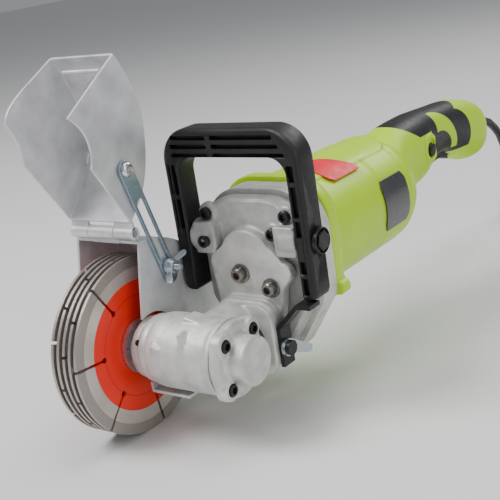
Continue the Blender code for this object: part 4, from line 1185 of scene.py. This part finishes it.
def half_box(side):
    """Cutter for the half of the grip that belongs to the other side."""
    bm = bmesh.new()
    low, high = (MOTOR_X - 70, MOTOR_X + 0.12) if side > 0 else (MOTOR_X - 0.12, MOTOR_X + 70)
    prism(bm, [(low, -30), (high, -30), (high, 170), (low, 170)], "Y", 200, 470)
    return bm


def build_rear_handle():
    for name, side in (("left", -1), ("right", 1)):
        bm = bmesh.new()
        grip_loft(bm, 238.3, 438.0, 0.0, 110)
        shell = fresh(f"grip_{name}", bm, None)
        hollow = bmesh.new()
        grip_loft(hollow, 236.0, 431.0, 3.0, 50, 40)
        trigger_slot = bmesh.new()
        prism(trigger_slot, [(MOTOR_X - 7.5, 40), (MOTOR_X + 7.5, 40), (MOTOR_X + 7.5, 66),
                             (MOTOR_X - 7.5, 66)], "Y", 318.5, 364.5)
        cutters = [hollow, trigger_slot, cylinder_cut("Y", (MOTOR_X, 0, 57), 7.3, 425, 455)]
        if side > 0:
            cutters.append(cylinder_cut("X", (0, 300, 69), 6.4, MOTOR_X + 5, MOTOR_X + 40))
        cut_with(shell, *cutters, half_box(side))
        extra = bmesh.new()
        if side > 0:
            ring_lathe(extra, [(93.0, 13.4), (95.8, 13.0), (97.0, 12.0)],
                       [(93.0, 8.4), (96.4, 8.2), (97.0, 8.6)], "X", (0, 299.5, 70.5), 64)
        for y, z in ((252, 74), (263, 45), (411, 44)) if side < 0 else ():
            x = MOTOR_X + side * (grip_section(y)[1] - 2.2)
            low, high = sorted((x, x + side * 3.0))
            ring_lathe(extra, [(low, 4.6), (high, 4.2)], [(low, 2.6), (high, 2.6)], "X", (0, y, z), 32)
        add_solid(shell, extra)
        soften(shell, 38)
        finish_piece(shell, "tool", GRIP, [f"rear_handle_{name}"])

    bm = bmesh.new()
    solid_lathe(bm, [(86, 5.8), (96.6, 5.8), (98.0, 5.2), (98.5, 4.0)], "X", (0, 300, 69), 48)
    finish_piece(fresh("button_cap", bm, 30), "lock_button", BLACK,
                 ["lock_button"])


# ---------------------------------------------------------------- CAD pieces kept as they are
KEPT = {
    "inner_disc_flange": ZINC, "outer_disc_flange": ZINC, "spindle_nut": ZINC, "hinge_pin": ZINC,
    "lock_lever": ZINC, "lever_bolt": OXIDE, "handle_brace": OXIDE, "trigger": BLACK,
    "switch_body": BLACK, "fan": BLACK, "armature": COPPER, "carbon_brush_left": CARBON,
    "carbon_brush_right": CARBON,
}
ROUNDED = ("handle_brace", "lock_lever", "trigger", "spindle_nut", "inner_disc_flange",
           "outer_disc_flange", "lever_bolt")


def dress_kept_nodes():
    """Materials for the CAD pieces that still show; the spacers are plated, the rest is steel."""
    for name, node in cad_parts.items():
        if node.hide_render:
            continue
        material = KEPT.get(name, ZINC if name.startswith("disc_spacer") else STEEL)
        node.data.materials.clear()
        node.data.materials.append(material)
        node.data.set_sharp_from_angle(angle=math.radians(32))
        if name in ROUNDED:
            round_edges(node, 0.4, 2, 40)


# ---------------------------------------------------------------- floor and light
def build_stage():
    floor_mesh = bpy.data.meshes.new("floor")
    z = at(0, 0, FLOOR_Z).z
    floor_mesh.from_pydata([(x * FLOOR_HALF, y * FLOOR_HALF, z)
                            for x, y in ((-1, -1), (1, -1), (1, 1), (-1, 1))], [], [(0, 1, 2, 3)])
    floor = add_object("floor", floor_mesh)
    shader = Shader("floor_matte", (0.72, 0.72, 0.71), 0.6)
    shader.vary_roughness(6, 0.55, 0.65)
    floor_mesh.materials.append(shader.material)
    world = bpy.data.worlds.new("studio")
    world.use_nodes = True
    background = world.node_tree.nodes["Background"]
    background.inputs["Color"].default_value = (0.93, 0.95, 1.0, 1)
    background.inputs["Strength"].default_value = 0.3
    bpy.context.scene.world = world
    middle = at(50, 180, 40)
    for name, place, energy, size in (
            ("key", (-0.7, -0.9, 1.5), 34, 0.8), ("fill", (1.5, -0.5, 0.7), 9, 1.2),
            ("rim", (0.4, 1.6, 1.3), 16, 0.9), ("top", (0.2, 0.1, 1.9), 14, 1.0)):
        light = bpy.data.lights.new(name, "AREA")
        light.energy = energy
        light.size = size
        lamp = add_object(name, light)
        lamp.location = middle + Vector(place)
        lamp.rotation_euler = (middle - lamp.location).to_track_quat("-Z", "Y").to_euler()


build_camera()
build_cord()
build_gland()
build_discs()
build_guard()
build_cover()
build_arm()
build_wing_nut()
build_spindle_housing()
build_flange_screws()
build_end_cap()
build_gear_case()
build_motor_housing()
build_front_handle()
build_rear_handle()
dress_kept_nodes()
build_stage()
